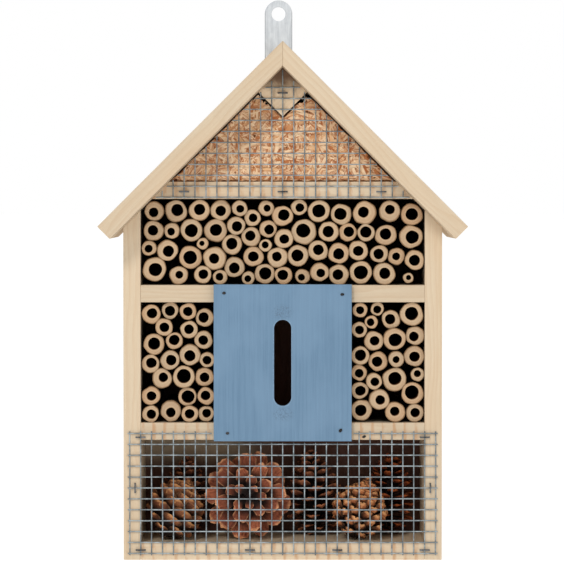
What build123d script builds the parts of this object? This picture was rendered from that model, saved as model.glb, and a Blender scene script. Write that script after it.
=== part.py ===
from build123d import *
import math
import os

os.makedirs("parts", exist_ok=True)

# Insect hotel: a small wooden house with rooms of bamboo canes, pine cones and wood
# shavings, and a blue panel with a slot for butterflies. Millimetres. X runs across
# the front, Y from front to back, Z up. The origin is on the underside, in the middle
# of the width and of the whole depth, with the roof and the hanger counted in.

# Boards and rooms. The roof boards stand at 45 degrees, so that a step across the
# front is as long as the step down with it.
board = 10.0
body_width = 185.0
frame_depth = 65.0
back_thickness = 5.0
cone_room_height = 60.0
middle_room_height = 70.0
upper_room_height = 50.0
beam_above_eave = 6.5
roof_front_overhang = 25.0
eave_overhang = 13.5
batten_side = 20.0

# Butterfly panel, with the dividers that stand behind its edges
panel_width = 80.0
panel_thickness = 4.0
panel_lap = 0.5
divider_inset = 0.5
slot_width = 10.0
slot_height = 50.0

# Hanger plate
hanger_width = 16.5
hanger_thickness = 1.5
hanger_hole = 8.4
hanger_above_ridge = 21.0
hanger_below_ridge = 40.0
hanger_offset = -2.5
screw_drops = (8.0, 20.0)
screw_length = 25.0
screw_shank = 3.2
screw_head = 6.4
screw_head_depth = 2.0

# Welded wire mesh, with the cross wires in front of the uprights
mesh_pitch = 6.35
wire = 0.7
mesh_foot = 4.0
mesh_side_gap = 2.4
gable_mesh_foot = 1.0
mesh_clear = 1.2
roof_clear = 1.5

# Fasteners
nail_shank = 1.6
nail_head = 3.2
nail_head_thickness = 0.8
frame_nail = 28.0
roof_nail = 18.0
roof_nail_stagger = 4.0
panel_nail = 18.0
back_nail = 20.0
panel_nail_proud = 0.6
nail_point = 2.0
staple_crown = 5.8
staple_wire = 0.8
staple_leg = 8.0

# Filling
loose_gap = 0.5
cane_gap = 0.2
cane_wall = 1.0
wide_bore = 7.0
cane_setbacks = (1.5, 3.0, 2.0, 4.0, 1.0, 2.5, 3.5)

# Places that follow from the sizes above
half_body = body_width / 2
half_room = half_body - board
shelf_low = board + cone_room_height
shelf_low_top = shelf_low + board
shelf_high = shelf_low_top + middle_room_height
shelf_high_top = shelf_high + board
beam_low = shelf_high_top + upper_room_height
beam_top = beam_low + board
ridge_inside = beam_low - beam_above_eave + half_room
ridge_top = ridge_inside + board * math.sqrt(2)
batten_half = batten_side / math.sqrt(2)

whole_depth = roof_front_overhang + frame_depth + hanger_thickness
roof_front = -whole_depth / 2
frame_front = roof_front + roof_front_overhang
frame_rear = frame_front + frame_depth
back_front = frame_rear - back_thickness
panel_front = frame_front - panel_thickness

divider_outer = panel_width / 2 - divider_inset
divider_inner = divider_outer - board
panel_middle = (shelf_low + shelf_high_top) / 2
hanger_hole_z = ridge_top + hanger_above_ridge
upright_front = frame_front - wire
cross_front = upright_front - wire

# Canes of the three rooms. Each is (across, up, outside diameter, bore), measured
# from the room's left wall and floor, or from the middle in the upper room.
side_room_size = (43.0, 70.0)
left_room_canes = [
    (6, 63, 11, 6), (17, 65, 10, 6), (27.5, 64.5, 10, 5.5), (37, 61, 11, 6),
    (13.5, 55.5, 10, 5.5), (28, 54, 10, 5.5), (7.5, 45.5, 12, 7), (19.5, 47.5, 9.5, 6),
    (36.5, 48, 10.5, 5.5), (28.5, 39.5, 12, 6.5), (5.5, 34, 10.5, 6),
    (17, 36.5, 11, 6), (38.5, 36.5, 9, 5), (12.5, 25.5, 11.5, 5.5),
    (25, 26.5, 12.5, 8), (37, 26.5, 10.5, 5.5), (6, 15.5, 10.5, 5.5),
    (27, 15, 10.5, 7.5), (38, 15.5, 10.5, 5.5), (5.5, 5, 10, 5.5),
    (17.5, 6.5, 11.5, 5.5), (28.5, 5, 9.5, 5.5), (38, 5, 9, 5),
]
right_room_canes = [
    (5.5, 65.5, 9.5, 4.5), (15.5, 66, 8, 4.5), (35.5, 63, 13.5, 7.5),
    (23.5, 60, 10.5, 6), (12, 58.5, 7.5, 4.5), (5, 54, 9, 5), (13.5, 47.5, 11, 5.5),
    (25.5, 48.5, 12.5, 7.5), (37.5, 50.5, 10.5, 5.5), (5.5, 39, 10.5, 6.5),
    (16, 35.5, 11, 6), (26.5, 37, 9, 4), (37, 38.5, 12, 6), (5, 29, 9, 5),
    (13.5, 24, 9.5, 5), (25.5, 25, 14, 7.5), (39, 28, 8, 4), (5.5, 18.5, 10, 6),
    (16.5, 13.5, 11.5, 5.5), (36, 17, 13, 8), (6.5, 7, 12, 6.5), (26, 6, 11.5, 5.5),
    (37.5, 5.5, 10.5, 5.5),
]
upper_room_size = (165.0, 50.0)
upper_room_canes = [
    (-74.5, 43, 11, 5.5), (-62, 43, 12.5, 7), (-48.5, 43.5, 12, 6.5),
    (-36, 43.5, 11.5, 6), (-25, 44.5, 9.5, 4.5), (-17.5, 39, 10, 5),
    (-9.5, 44.5, 9.5, 4), (0, 40, 12.5, 6.5), (9.5, 45, 9.5, 5), (21, 43, 12.5, 7.5),
    (34, 41, 12, 7), (47.5, 42, 13.5, 6), (62, 43, 12, 5.5), (75, 41, 12.5, 7),
    (-75, 31.5, 11.5, 6), (-64.5, 31.5, 9, 4.5), (-53, 32, 12.5, 7.5),
    (-39, 31.5, 13, 7), (-27, 34.5, 10.5, 6), (-18.5, 28, 11.5, 6),
    (-8.5, 32.5, 10, 5.5), (0.5, 27, 11, 5.5), (12.5, 31, 14, 8),
    (26.5, 31, 11.5, 6.5), (38, 30.5, 10, 6), (48.5, 30.5, 10, 6.5), (60, 29, 12, 6.5),
    (74.5, 28, 13.5, 7.5), (-77.5, 21.5, 8.5, 4.5), (-67, 20, 12, 6.5),
    (-46.5, 24, 6.5, 3), (-29.5, 23.5, 11.5, 6.5), (-10, 23, 8, 4), (9, 17, 12, 7),
    (20.5, 20, 11.5, 6), (32.5, 18.5, 12, 6.5), (44, 20, 11.5, 6), (56, 18, 10.5, 6),
    (66, 16.5, 10, 4.5), (76.5, 14.5, 11.5, 6.5), (-74.5, 9, 13.5, 7.5),
    (-53.5, 16, 13, 8), (-39.5, 15.5, 13, 6), (-17, 16.5, 12.5, 6),
    (-3, 16, 11.5, 5.5), (-60.5, 5.5, 10.5, 4.5), (-46.5, 6, 10, 5.5),
    (-36.5, 4.5, 8.5, 4.5), (-28, 10.5, 11.5, 6), (-20, 4, 7.5, 4),
    (-10.5, 6.5, 11.5, 7), (0.5, 5.5, 10, 6), (11.5, 5, 8.5, 4), (21.5, 7.5, 10.5, 5),
    (32.5, 6, 11.5, 6), (45.5, 7.5, 13, 8), (59, 6.5, 13, 6.5), (73, 4, 6, 3),
]

# Pine cones: node name, width, length, place across and front to back from the middle
# of the room, and the way the tip points (across, back, up)
cone_room_size = (165.0, 60.0, 60.0)
pine_cones = [
    ("front_left_cone", 29, 32, -63.0, -13.8, (0.45, 0.2, 0.85)),
    ("front_middle_cone", 51, 42, -20.5, -8.0, (0.05, -1.0, 0.1)),
    ("front_right_cone", 30, 35, 45.5, -13.5, (0.25, -0.25, 0.95)),
    ("rear_left_cone", 27, 47, -59.0, 15.3, (0.12, 0.03, 1.0)),
    ("rear_middle_cone", 31, 50, 19.0, 12.2, (-0.1, 0.1, 1.0)),
    ("rear_right_cone", 30, 48, 62.0, 14.0, (0.1, 0.0, 1.0)),
]


def block(left, right, front, rear, low, high):
    middle = Pos((left + right) / 2, (front + rear) / 2, (low + high) / 2)
    return middle * Box(right - left, rear - front, high - low)


def drawn_in_front(corners, front, rear):
    # An outline of (across, up) corners, carried back from front to rear
    outline = Plane.XZ.offset(-rear) * make_face(Polyline(*corners, close=True))
    return extrude(outline, amount=rear - front, dir=(0, -1, 0))


def under_roof(gap=0.0):
    # The space between the side boards and below the roof boards, over the full depth
    top = ridge_inside - gap * math.sqrt(2)
    side = half_room - gap
    corners = [(-side, 0), (side, 0), (side, top - side), (0, top), (-side, top - side)]
    return drawn_in_front(corners, roof_front, frame_rear)


def mirrored(shape):
    return mirror(shape, about=Plane.YZ)


def nail(head_centre, direction, length, proud=0.0):
    # Its head is sunk flush with the wood, or stands proud of it
    head = Pos(0, 0, -proud) * Cylinder(
        nail_head / 2, nail_head_thickness, align=(Align.CENTER, Align.CENTER, Align.MIN)
    )
    shank = Cylinder(
        nail_shank / 2, length - nail_point, align=(Align.CENTER, Align.CENTER, Align.MIN)
    )
    point = Pos(0, 0, length - nail_point) * Cone(
        nail_shank / 2, nail_shank / 8, nail_point,
        align=(Align.CENTER, Align.CENTER, Align.MIN),
    )
    return Plane(origin=head_centre, z_dir=direction) * (head + shank + point)


def screw(head_centre, direction):
    head = Cone(
        screw_head / 2, screw_shank / 2, screw_head_depth,
        align=(Align.CENTER, Align.CENTER, Align.MIN),
    )
    shank = Cylinder(
        screw_shank / 2, screw_length, align=(Align.CENTER, Align.CENTER, Align.MIN)
    )
    return Plane(origin=head_centre, z_dir=direction) * (head + shank)


def staple(across, up, over, upright=False):
    # Its crown lies over a wire whose front is at over, and its legs are in the wood
    half = (staple_crown - staple_wire) / 2
    thick = staple_wire / 2
    crown = block(
        -half - thick, half + thick, over - staple_wire, over, -thick, thick
    )
    leg = block(-thick, thick, over - staple_wire, frame_front + staple_leg, -thick, thick)
    shape = crown + Pos(-half, 0, 0) * leg + Pos(half, 0, 0) * leg
    if upright:
        shape = Rot(0, 90, 0) * shape
    return Pos(across, 0, up) * shape


def upright_wire(across, low, high):
    middle = Pos(across, frame_front - wire / 2, (low + high) / 2)
    return middle * Cylinder(wire / 2, high - low)


def cross_wire(up, left, right):
    middle = Pos((left + right) / 2, upright_front - wire / 2, up)
    return middle * Rot(0, 90, 0) * Cylinder(wire / 2, right - left)


def side_board():
    corners = [
        (half_room, 0), (half_body, 0),
        (half_body, ridge_inside - half_body), (half_room, ridge_inside - half_room),
    ]
    return drawn_in_front(corners, frame_front, frame_rear)


def roof_board():
    corners = [
        (0, ridge_inside), (0, ridge_top),
        (half_body + eave_overhang, ridge_top - half_body - eave_overhang),
    ]
    step = board / math.sqrt(2)
    corners.append((corners[2][0] - step, corners[2][1] - step))
    return drawn_in_front(corners, roof_front, frame_rear)


def shelf(low):
    return block(-half_room, half_room, frame_front, back_front, low, low + board)


def gable_beam():
    # Its ends are cut along the roof boards
    beam = block(-half_room, half_room, frame_front, back_front, beam_low, beam_top)
    return beam & under_roof()


def divider():
    return block(
        divider_inner, divider_outer, frame_front, back_front, shelf_low_top, shelf_high
    )


def ridge_batten():
    corners = [
        (0, ridge_inside), (-batten_half, ridge_inside - batten_half),
        (0, ridge_inside - 2 * batten_half), (batten_half, ridge_inside - batten_half),
    ]
    return drawn_in_front(corners, frame_front, back_front)


def back_panel():
    behind = block(-half_body, half_body, back_front, frame_rear, board, ridge_top)
    return behind & under_roof()


def butterfly_panel():
    panel = block(
        -panel_width / 2, panel_width / 2, panel_front, frame_front,
        shelf_low - panel_lap, shelf_high_top + panel_lap,
    )
    opening = extrude(
        Plane.XZ.offset(-frame_rear) * SlotOverall(slot_height, slot_width, rotation=90),
        amount=whole_depth, dir=(0, -1, 0),
    )
    return panel - Pos(0, 0, panel_middle) * opening


def hanger_plate():
    # A strip with a full round top about its hole
    rear_face = Plane.XZ.offset(-whole_depth / 2)
    low = ridge_top - hanger_below_ridge
    strip = Pos(0, (low + hanger_hole_z) / 2) * Rectangle(
        hanger_width, hanger_hole_z - low
    )
    top = Pos(0, hanger_hole_z) * Circle(hanger_width / 2)
    hole = Pos(0, hanger_hole_z) * Circle(hanger_hole / 2)
    outline = rear_face * (Pos(hanger_offset, 0) * (strip + top - hole))
    return extrude(outline, amount=hanger_thickness, dir=(0, -1, 0))


def hanger_screws():
    rear = whole_depth / 2
    return [screw((hanger_offset, rear, ridge_inside - drop), (0, -1, 0)) for drop in screw_drops]


def side_nails():
    # Two through the side board into the end of each cross board
    depths = (frame_front + frame_depth * 0.2, frame_front + frame_depth * 0.6)
    heights = [board / 2, shelf_low + board / 2, shelf_high + board / 2]
    return [
        nail((half_body, y, z), (-1, 0, 0), frame_nail) for z in heights for y in depths
    ]


def roof_nails(back=0.0):
    # Square to the slope: two over each side board, beam end and side of the batten.
    # Those of the left board stand further back, so that none meets another.
    depths = (frame_front + frame_depth * 0.25, frame_front + frame_depth * 0.55)
    seats = [half_body - board / 4, ridge_inside - beam_top + board / 4, batten_half / 2]
    step = board / math.sqrt(2)
    return [
        nail((seat + step, y + back, ridge_inside - seat + step), (-1, 0, -1), roof_nail)
        for seat in seats
        for y in depths
    ]


def divider_nails():
    # Up through the lower shelf and down through the upper shelf
    depths = (frame_front + frame_depth * 0.35, frame_front + frame_depth * 0.65)
    middle = (divider_inner + divider_outer) / 2
    nails = []
    for x in (-middle, middle):
        for y in depths:
            nails.append(nail((x, y, shelf_low), (0, 0, 1), frame_nail))
            nails.append(nail((x, y, shelf_high_top), (0, 0, -1), frame_nail))
    return nails


def back_nails():
    # Through the back panel into the rear of the shelves and the beam
    nails = []
    for z, reach in [
        (shelf_low + board / 2, half_room), (shelf_high + board / 2, half_room),
        (beam_low + board / 2, ridge_inside - beam_top),
    ]:
        for x in (-reach * 0.8, -reach * 0.1, reach * 0.75):
            nails.append(nail((x, frame_rear, z), (0, -1, 0), back_nail))
    return nails


def panel_nails():
    # One near each corner: inset from the panel's edge, and height off the shelf's middle
    low = shelf_low + board / 2
    high = shelf_high + board / 2
    edge = panel_width / 2
    spots = [
        (-edge + 6.0, high + 0.5), (edge - 5.5, high - 0.3),
        (-edge + 8.0, low - 0.8), (edge - 6.5, low + 0.8),
    ]
    return [
        nail((x, panel_front, z), (0, 1, 0), panel_nail, panel_nail_proud) for x, z in spots
    ]


def mesh_columns():
    # The number of spaces from the middle to the last upright on each side
    return math.floor((half_body - mesh_side_gap - wire) / mesh_pitch)


def mesh_rows():
    # The top wire lies on the front of the lower shelf
    return math.floor((shelf_low_top - wire - mesh_foot) / mesh_pitch)


def lower_mesh():
    # Cut out round the lower edge of the butterfly panel
    count = mesh_columns()
    reach = half_body - mesh_side_gap
    edge = panel_width / 2 + mesh_clear
    below = shelf_low - panel_lap - mesh_clear
    top = mesh_foot + mesh_rows() * mesh_pitch
    wires = []
    for column in range(-count, count + 1):
        across = column * mesh_pitch
        high = top + mesh_clear if abs(across) > edge else min(below, top + mesh_clear)
        wires.append(upright_wire(across, mesh_foot - mesh_clear, high))
    for row in range(mesh_rows() + 1):
        up = mesh_foot + row * mesh_pitch
        if up + wire / 2 < below:
            wires.append(cross_wire(up, -reach, reach))
        else:
            wires.append(cross_wire(up, -reach, -edge))
            wires.append(cross_wire(up, edge, reach))
    return wires


def gable_mesh():
    # Its wires end just short of the roof boards
    foot = beam_low + gable_mesh_foot
    top = ridge_inside - roof_clear
    count = math.floor((top - foot - mesh_clear) / mesh_pitch)
    wires = []
    for column in range(-count, count + 1):
        across = column * mesh_pitch
        wires.append(upright_wire(across, foot - wire, top - abs(across)))
    for row in range(count):
        up = foot + row * mesh_pitch
        wires.append(cross_wire(up, up - top, top - up))
    return wires


def lower_mesh_staples():
    # On the shelf and the bottom board, and on the side boards between two uprights
    inner = (mesh_columns() - 1) * mesh_pitch
    low = mesh_foot + mesh_pitch * 0.3
    top = mesh_foot + (mesh_rows() - 0.35) * mesh_pitch
    middle = mesh_foot + (mesh_rows() // 2 + 1) * mesh_pitch
    staples = [
        staple(x, z, upright_front)
        for x, z in [
            (-inner, top), (inner, top), (-inner, low), (inner, low),
            (-3 * mesh_pitch, low), (5 * mesh_pitch, low),
        ]
    ]
    post = (round((half_room + board / 2) / mesh_pitch - 0.5) + 0.5) * mesh_pitch
    for x in (-post, post):
        staples.append(staple(x, middle, cross_front, upright=True))
    return staples


def gable_mesh_staples():
    # Three on the beam and one on the front of the ridge batten
    low = beam_low + gable_mesh_foot + mesh_pitch / 2
    side = math.floor((ridge_inside - beam_top) * 0.9 / mesh_pitch) * mesh_pitch
    row = math.floor((ridge_inside - batten_half - low) / mesh_pitch)
    spots = [(-side, low), (0, low), (side, low), (0, low + row * mesh_pitch)]
    return [staple(x, z, upright_front) for x, z in spots]


def mesh_nail():
    # Beside the panel, between the mesh's upper wires
    high = mesh_foot + (mesh_rows() - 0.3) * mesh_pitch
    column = math.ceil((panel_width / 2 + mesh_clear) / mesh_pitch) + 0.45
    return [nail((column * mesh_pitch, frame_front, high), (0, 1, 0), panel_nail, wire)]


def fitted_canes(layout, drawn_size, room_size, ceiling):
    # Moves the canes with the room's size and keeps each clear of walls and neighbours.
    # ceiling(x, y) says how far a point of the room is from its slanted top.
    spread_x = room_size[0] / drawn_size[0]
    spread_z = room_size[1] / drawn_size[1]
    placed = [(x * spread_x, z * spread_z, d / 2, bore / 2) for x, z, d, bore in layout]
    fitted = []
    for cane in placed:
        x, z, radius, bore = cane
        room = min(z, room_size[1] - z, ceiling(x, z)) - cane_gap
        for other in placed:
            if other is not cane:
                apart = math.dist(cane[:2], other[:2]) - cane_gap
                room = min(room, apart * radius / (radius + other[2]))
        size = min(radius, room)
        fitted.append((x, z, size, min(bore, size - cane_wall)))
    return fitted


def cane(across, up, radius, bore, setback):
    # Open at the front, glued to the back panel at its rear end
    length = back_front - frame_front - setback
    ring = Plane(origin=(across, back_front, up), z_dir=(0, -1, 0))
    return ring * extrude(Circle(radius) - Circle(bore), amount=length)


def split_canes(canes, left, floor):
    # Two lists of solids: canes with a wide bore and canes with a narrow one
    wide = []
    narrow = []
    for index, (x, z, radius, bore) in enumerate(canes):
        setback = cane_setbacks[index % len(cane_setbacks)]
        solid = cane(left + x, floor + z, radius, bore, setback)
        (wide if 2 * bore >= wide_bore else narrow).append(solid)
    return wide, narrow


def side_room_canes(layout, left):
    width = half_room - divider_outer
    size = (width, middle_room_height)
    fitted = fitted_canes(layout, side_room_size, size, lambda x, z: min(x, width - x))
    return split_canes(fitted, left, shelf_low_top)


def top_room_canes():
    def ceiling(x, z):
        slope = (ridge_inside - shelf_high_top - z - abs(x)) / math.sqrt(2)
        return min(slope, half_room - abs(x))

    size = (2 * half_room, upper_room_height)
    fitted = fitted_canes(upper_room_canes, upper_room_size, size, ceiling)
    return split_canes(fitted, 0, shelf_high_top)


def wood_shavings():
    # One closed block that fills the gable round the batten and rests on the beam
    room = block(
        -half_room, half_room, frame_front + loose_gap, back_front, beam_top, ridge_top
    )
    gap = loose_gap * math.sqrt(2)
    low = ridge_inside - 2 * batten_half - gap
    around = drawn_in_front(
        [(0, low), (ridge_top - low, ridge_top), (low - ridge_top, ridge_top)],
        roof_front, frame_rear,
    )
    return (room & under_roof(loose_gap)) - around


def pine_cone(width, length, across, back, tip):
    # A plain egg shape of the cone's outer size, resting on the bottom board
    room = (2 * half_room, back_front - frame_front, cone_room_height)
    fit = min(1.0, *(now / drawn for now, drawn in zip(room, cone_room_size)))
    wide = width * fit / 2
    tall = length * fit
    side = Spline(
        (0, 0), (wide * 0.85, tall * 0.15), (wide, tall * 0.38), (wide * 0.75, tall * 0.75),
        (0, tall), tangents=[(1, 0), (-1, 0)],
    )
    egg = revolve(Plane.XZ * make_face([side, Line((0, tall), (0, 0))]), Axis.Z)
    turned = Plane(origin=(0, 0, 0), z_dir=tip) * egg
    box = turned.bounding_box()
    middle = box.center()
    spread = (room[0] / cone_room_size[0], room[1] / cone_room_size[1])
    to = Vector(
        across * spread[0] - middle.X,
        (frame_front + back_front) / 2 + back * spread[1] - middle.Y,
        board - box.min.Z,
    )
    return Pos(to) * turned


def less(shape, *groups):
    # The shape with holes for the fasteners in the groups
    for group in groups:
        for tool in group:
            shape = shape - tool
    return shape


def save(name, *solids):
    shape = solids[0] if len(solids) == 1 else Compound(children=list(solids))
    export_step(shape, f"parts/{name}.step")


right_side_nails = side_nails()
left_side_nails = [mirrored(one) for one in right_side_nails]
right_roof_nails = roof_nails()
left_roof_nails = [mirrored(one) for one in roof_nails(roof_nail_stagger)]
inner_nails = divider_nails()
rear_nails = back_nails()
front_nails = panel_nails()
corner_nail = mesh_nail()
screws = hanger_screws()
low_staples = lower_mesh_staples()
high_staples = gable_mesh_staples()
shelf_fasteners = [
    left_side_nails, right_side_nails, inner_nails, rear_nails, front_nails,
    corner_nail, low_staples,
]
ridge_fasteners = [left_roof_nails, right_roof_nails, screws, high_staples]

save("right_side_board", less(side_board(), right_side_nails, right_roof_nails, low_staples))
save(
    "left_side_board",
    less(mirrored(side_board()), left_side_nails, left_roof_nails, low_staples),
)
save(
    "bottom_board",
    less(
        block(-half_room, half_room, frame_front, frame_rear, 0, board),
        left_side_nails, right_side_nails, low_staples,
    ),
)
save("lower_shelf", less(shelf(shelf_low), *shelf_fasteners))
save("upper_shelf", less(shelf(shelf_high), *shelf_fasteners))
save("gable_beam", less(gable_beam(), left_roof_nails, right_roof_nails, rear_nails, high_staples))
save("right_divider", less(divider(), inner_nails))
save("left_divider", less(mirrored(divider()), inner_nails))
save("right_roof_board", less(roof_board(), right_roof_nails))
save("left_roof_board", less(mirrored(roof_board()), left_roof_nails))
save("ridge_batten", less(ridge_batten(), *ridge_fasteners))
save("back_panel", less(back_panel(), rear_nails, screws))
save("butterfly_panel", less(butterfly_panel(), front_nails))
save("hanger_plate", less(hanger_plate(), screws))

save("panel_nails", *front_nails)
save("mesh_nail", *corner_nail)
save("right_side_nails", *right_side_nails)
save("left_side_nails", *left_side_nails)
save("right_roof_nails", *right_roof_nails)
save("left_roof_nails", *left_roof_nails)
save("divider_nails", *inner_nails)
save("back_panel_nails", *rear_nails)
save("hanger_screws", *screws)

save("lower_mesh", *lower_mesh())
save("gable_mesh", *gable_mesh())
save("lower_mesh_staples", *low_staples)
save("gable_mesh_staples", *high_staples)

for room, (wide, narrow) in {
    "left": side_room_canes(left_room_canes, -half_room),
    "right": side_room_canes(right_room_canes, divider_outer),
    "upper": top_room_canes(),
}.items():
    save(f"{room}_wide_canes", *wide)
    save(f"{room}_narrow_canes", *narrow)

save("wood_shavings", wood_shavings())
for name, *sizes in pine_cones:
    save(name, pine_cone(*sizes))
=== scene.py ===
import math
import random

import bmesh
import bpy
from mathutils import Matrix, Vector


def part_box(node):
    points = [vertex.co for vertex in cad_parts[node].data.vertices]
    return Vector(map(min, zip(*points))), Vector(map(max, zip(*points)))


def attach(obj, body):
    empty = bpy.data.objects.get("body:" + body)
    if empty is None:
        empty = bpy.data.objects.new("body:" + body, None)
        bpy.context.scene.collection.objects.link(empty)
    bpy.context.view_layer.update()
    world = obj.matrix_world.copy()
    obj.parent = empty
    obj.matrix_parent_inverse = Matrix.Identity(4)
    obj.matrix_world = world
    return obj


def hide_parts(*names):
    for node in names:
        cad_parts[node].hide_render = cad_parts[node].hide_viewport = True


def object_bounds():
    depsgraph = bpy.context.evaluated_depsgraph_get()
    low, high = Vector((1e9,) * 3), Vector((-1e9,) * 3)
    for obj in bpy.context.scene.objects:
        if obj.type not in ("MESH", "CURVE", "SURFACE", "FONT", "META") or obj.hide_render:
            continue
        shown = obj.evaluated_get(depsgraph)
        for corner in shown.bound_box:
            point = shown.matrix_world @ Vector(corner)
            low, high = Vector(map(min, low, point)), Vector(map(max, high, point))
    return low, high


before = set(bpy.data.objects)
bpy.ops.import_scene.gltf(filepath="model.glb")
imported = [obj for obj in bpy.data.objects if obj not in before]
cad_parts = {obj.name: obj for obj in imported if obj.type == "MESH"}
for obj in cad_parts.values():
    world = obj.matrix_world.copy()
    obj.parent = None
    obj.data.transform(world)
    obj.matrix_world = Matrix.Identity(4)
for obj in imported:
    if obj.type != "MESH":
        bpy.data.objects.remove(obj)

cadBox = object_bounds()
mm = 0.001
fullTurn = 2 * math.pi
scene = bpy.context.scene


class Flow:
    # wraps one node socket, so that maths in a tree reads as ordinary sums
    def __init__(self, tree, socket=None):
        self.tree = tree
        self.socket = socket

    def node(self, kind, settings=None, inputs=None, output=0):
        made = self.tree.nodes.new(kind if "Node" in kind else "ShaderNode" + kind)
        for name, value in (settings or {}).items():
            setattr(made, name, value)
        for name, value in (inputs or {}).items():
            socket = findSocket(made.inputs, name)
            if isinstance(value, Flow):
                self.tree.links.new(value.socket, socket)
            else:
                socket.default_value = value
        return Flow(self.tree, findSocket(made.outputs, output) if made.outputs else None)

    def maths(self, operation, *values):
        return self.node("Math", {"operation": operation}, dict(enumerate(values)))

    def __add__(self, other):
        return self.maths("ADD", self, other)

    def __sub__(self, other):
        return self.maths("SUBTRACT", self, other)

    def __rsub__(self, other):
        return self.maths("SUBTRACT", other, self)

    def __mul__(self, other):
        return self.maths("MULTIPLY", self, other)

    def __truediv__(self, other):
        return self.maths("DIVIDE", self, other)

    def __pow__(self, other):
        return self.maths("POWER", self, other)

    __radd__ = __add__
    __rmul__ = __mul__

    def vectors(self, operation, *values, output="Vector"):
        return self.node("VectorMath", {"operation": operation}, dict(enumerate(values)), output)

    def part(self, index):
        return self.node("SeparateXYZ", None, {0: self}, index)

    def joined(self, x, y, z):
        return self.node("CombineXYZ", None, {0: x, 1: y, 2: z})

    def clamp(self, low=0.0, high=1.0):
        return self.node("Clamp", None, {"Value": self, "Min": low, "Max": high})

    def spread(self, fromLow, fromHigh, toLow=0.0, toHigh=1.0):
        # a soft step from one level to another
        return self.node(
            "MapRange", {"interpolation_type": "SMOOTHSTEP"},
            {"Value": self, 1: fromLow, 2: fromHigh, 3: toLow, 4: toHigh},
        )

    def mixed(self, first, second):
        # this value is the share of the second colour
        return self.node(
            "Mix", {"data_type": "RGBA"},
            {"Factor_Float": self, "A_Color": first, "B_Color": second}, "Result_Color",
        )

    def noise(self, scale, detail=3.0, rough=0.5):
        # noise at this place; a scale of three numbers stretches it along the axes
        place = self
        if isinstance(scale, tuple):
            place, scale = self.vectors("MULTIPLY", self, scale), 1.0
        return self.node(
            "TexNoise", None,
            {"Vector": place, "Scale": scale, "Detail": detail, "Roughness": rough},
        )

    def carried(self, name, output="Fac"):
        # a value that a mesh's points carry, in a finish
        return self.node("Attribute", {"attribute_name": name}, None, output)

    def named(self, name, kind="FLOAT"):
        # the same in a Geometry Nodes tree
        return self.node("GeometryNodeInputNamedAttribute", {"data_type": kind}, {"Name": name})

    def kept(self, name, value, kind="FLOAT"):
        # this shape with a value stored on its points under a name
        return self.node(
            "GeometryNodeStoreNamedAttribute", {"data_type": kind},
            {"Geometry": self, "Name": name, "Value": value},
        )

    def moved(self, **way):
        # this shape with its points at a Position or pushed by an Offset
        return self.node("GeometryNodeSetPosition", None, {"Geometry": self, **way})


def findSocket(sockets, name):
    if isinstance(name, int):
        return sockets[name]
    for socket in sockets:
        if socket.identifier == name:
            return socket
    return sockets[name]


def colour(red, green, blue):
    # display values from 0 to 255 as a scene colour
    def linear(level):
        share = level / 255
        return share / 12.92 if share <= 0.04045 else ((share + 0.055) / 1.055) ** 2.4
    return (linear(red), linear(green), linear(blue), 1.0)


def layered(first, *layers):
    # lays tones over a first tone or colour, each by its own share
    base = colour(*first) if isinstance(first, tuple) else first
    for share, tone in layers:
        base = share.mixed(base, colour(*tone))
    return base


def newFinish(name):
    finish = bpy.data.materials.new(name)
    finish.use_nodes = True
    finish.node_tree.nodes.clear()
    return finish, Flow(finish.node_tree)


def inMillimetres(flow, turn=(0, 0, 0)):
    place = flow.node("TexCoord", output="Object")
    return flow.node(
        "Mapping", None, {"Vector": place, "Rotation": turn, "Scale": (1000, 1000, 1000)}
    )


def finishSurface(flow, base, rough, height=None, depth=0.1, metal=0.0, **fixed):
    # height is in units of depth millimetres
    inputs = {"Base Color": base, "Roughness": rough, "Metallic": metal}
    for name, value in fixed.items():
        inputs[name.replace("_", " ")] = value
    if height is not None:
        inputs["Normal"] = flow.node(
            "Bump", None, {"Height": height, "Distance": depth * mm, "Strength": 1.0}
        )
    shader = flow.node("BsdfPrincipled", None, inputs)
    flow.node("OutputMaterial", None, {"Surface": shader})


# the grain's direction on a board, and the turn that brings it onto X
grainTurn = {
    "X": (0, 0, 0),
    "Y": (0, 0, -math.pi / 2),
    "Z": (0, math.pi / 2, 0),
    "R": (0, -math.pi / 4, 0),
    "L": (0, math.pi / 4, 0),
}

pineLook = {
    "early": (217, 199, 172),
    "late": (200, 171, 138),
    "warm": (209, 178, 142),
    "pore": (176, 136, 92),
    # colours of the painted shade in the cone room, the painted wire shadows and the painted shade
    # on the batten
    "shaded": (84, 46, 30),
    "wireShadow": (186, 128, 76),
    "battenShade": (92, 60, 35),
    "ringPitch": 3.1,      # mm between growth rings
    "ringSway": 26,        # mm that the rings wander along the board
    "ringRipple": 5,
    "ringShare": 0.28,
    "fibreShare": 0.32,
    "warmShare": 0.4,
    "poreShare": 0.35,
    "roughness": 0.62,
    "relief": 0.16,        # mm
    "seedStep": 137,       # mm between one board's pattern and the next
}


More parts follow.
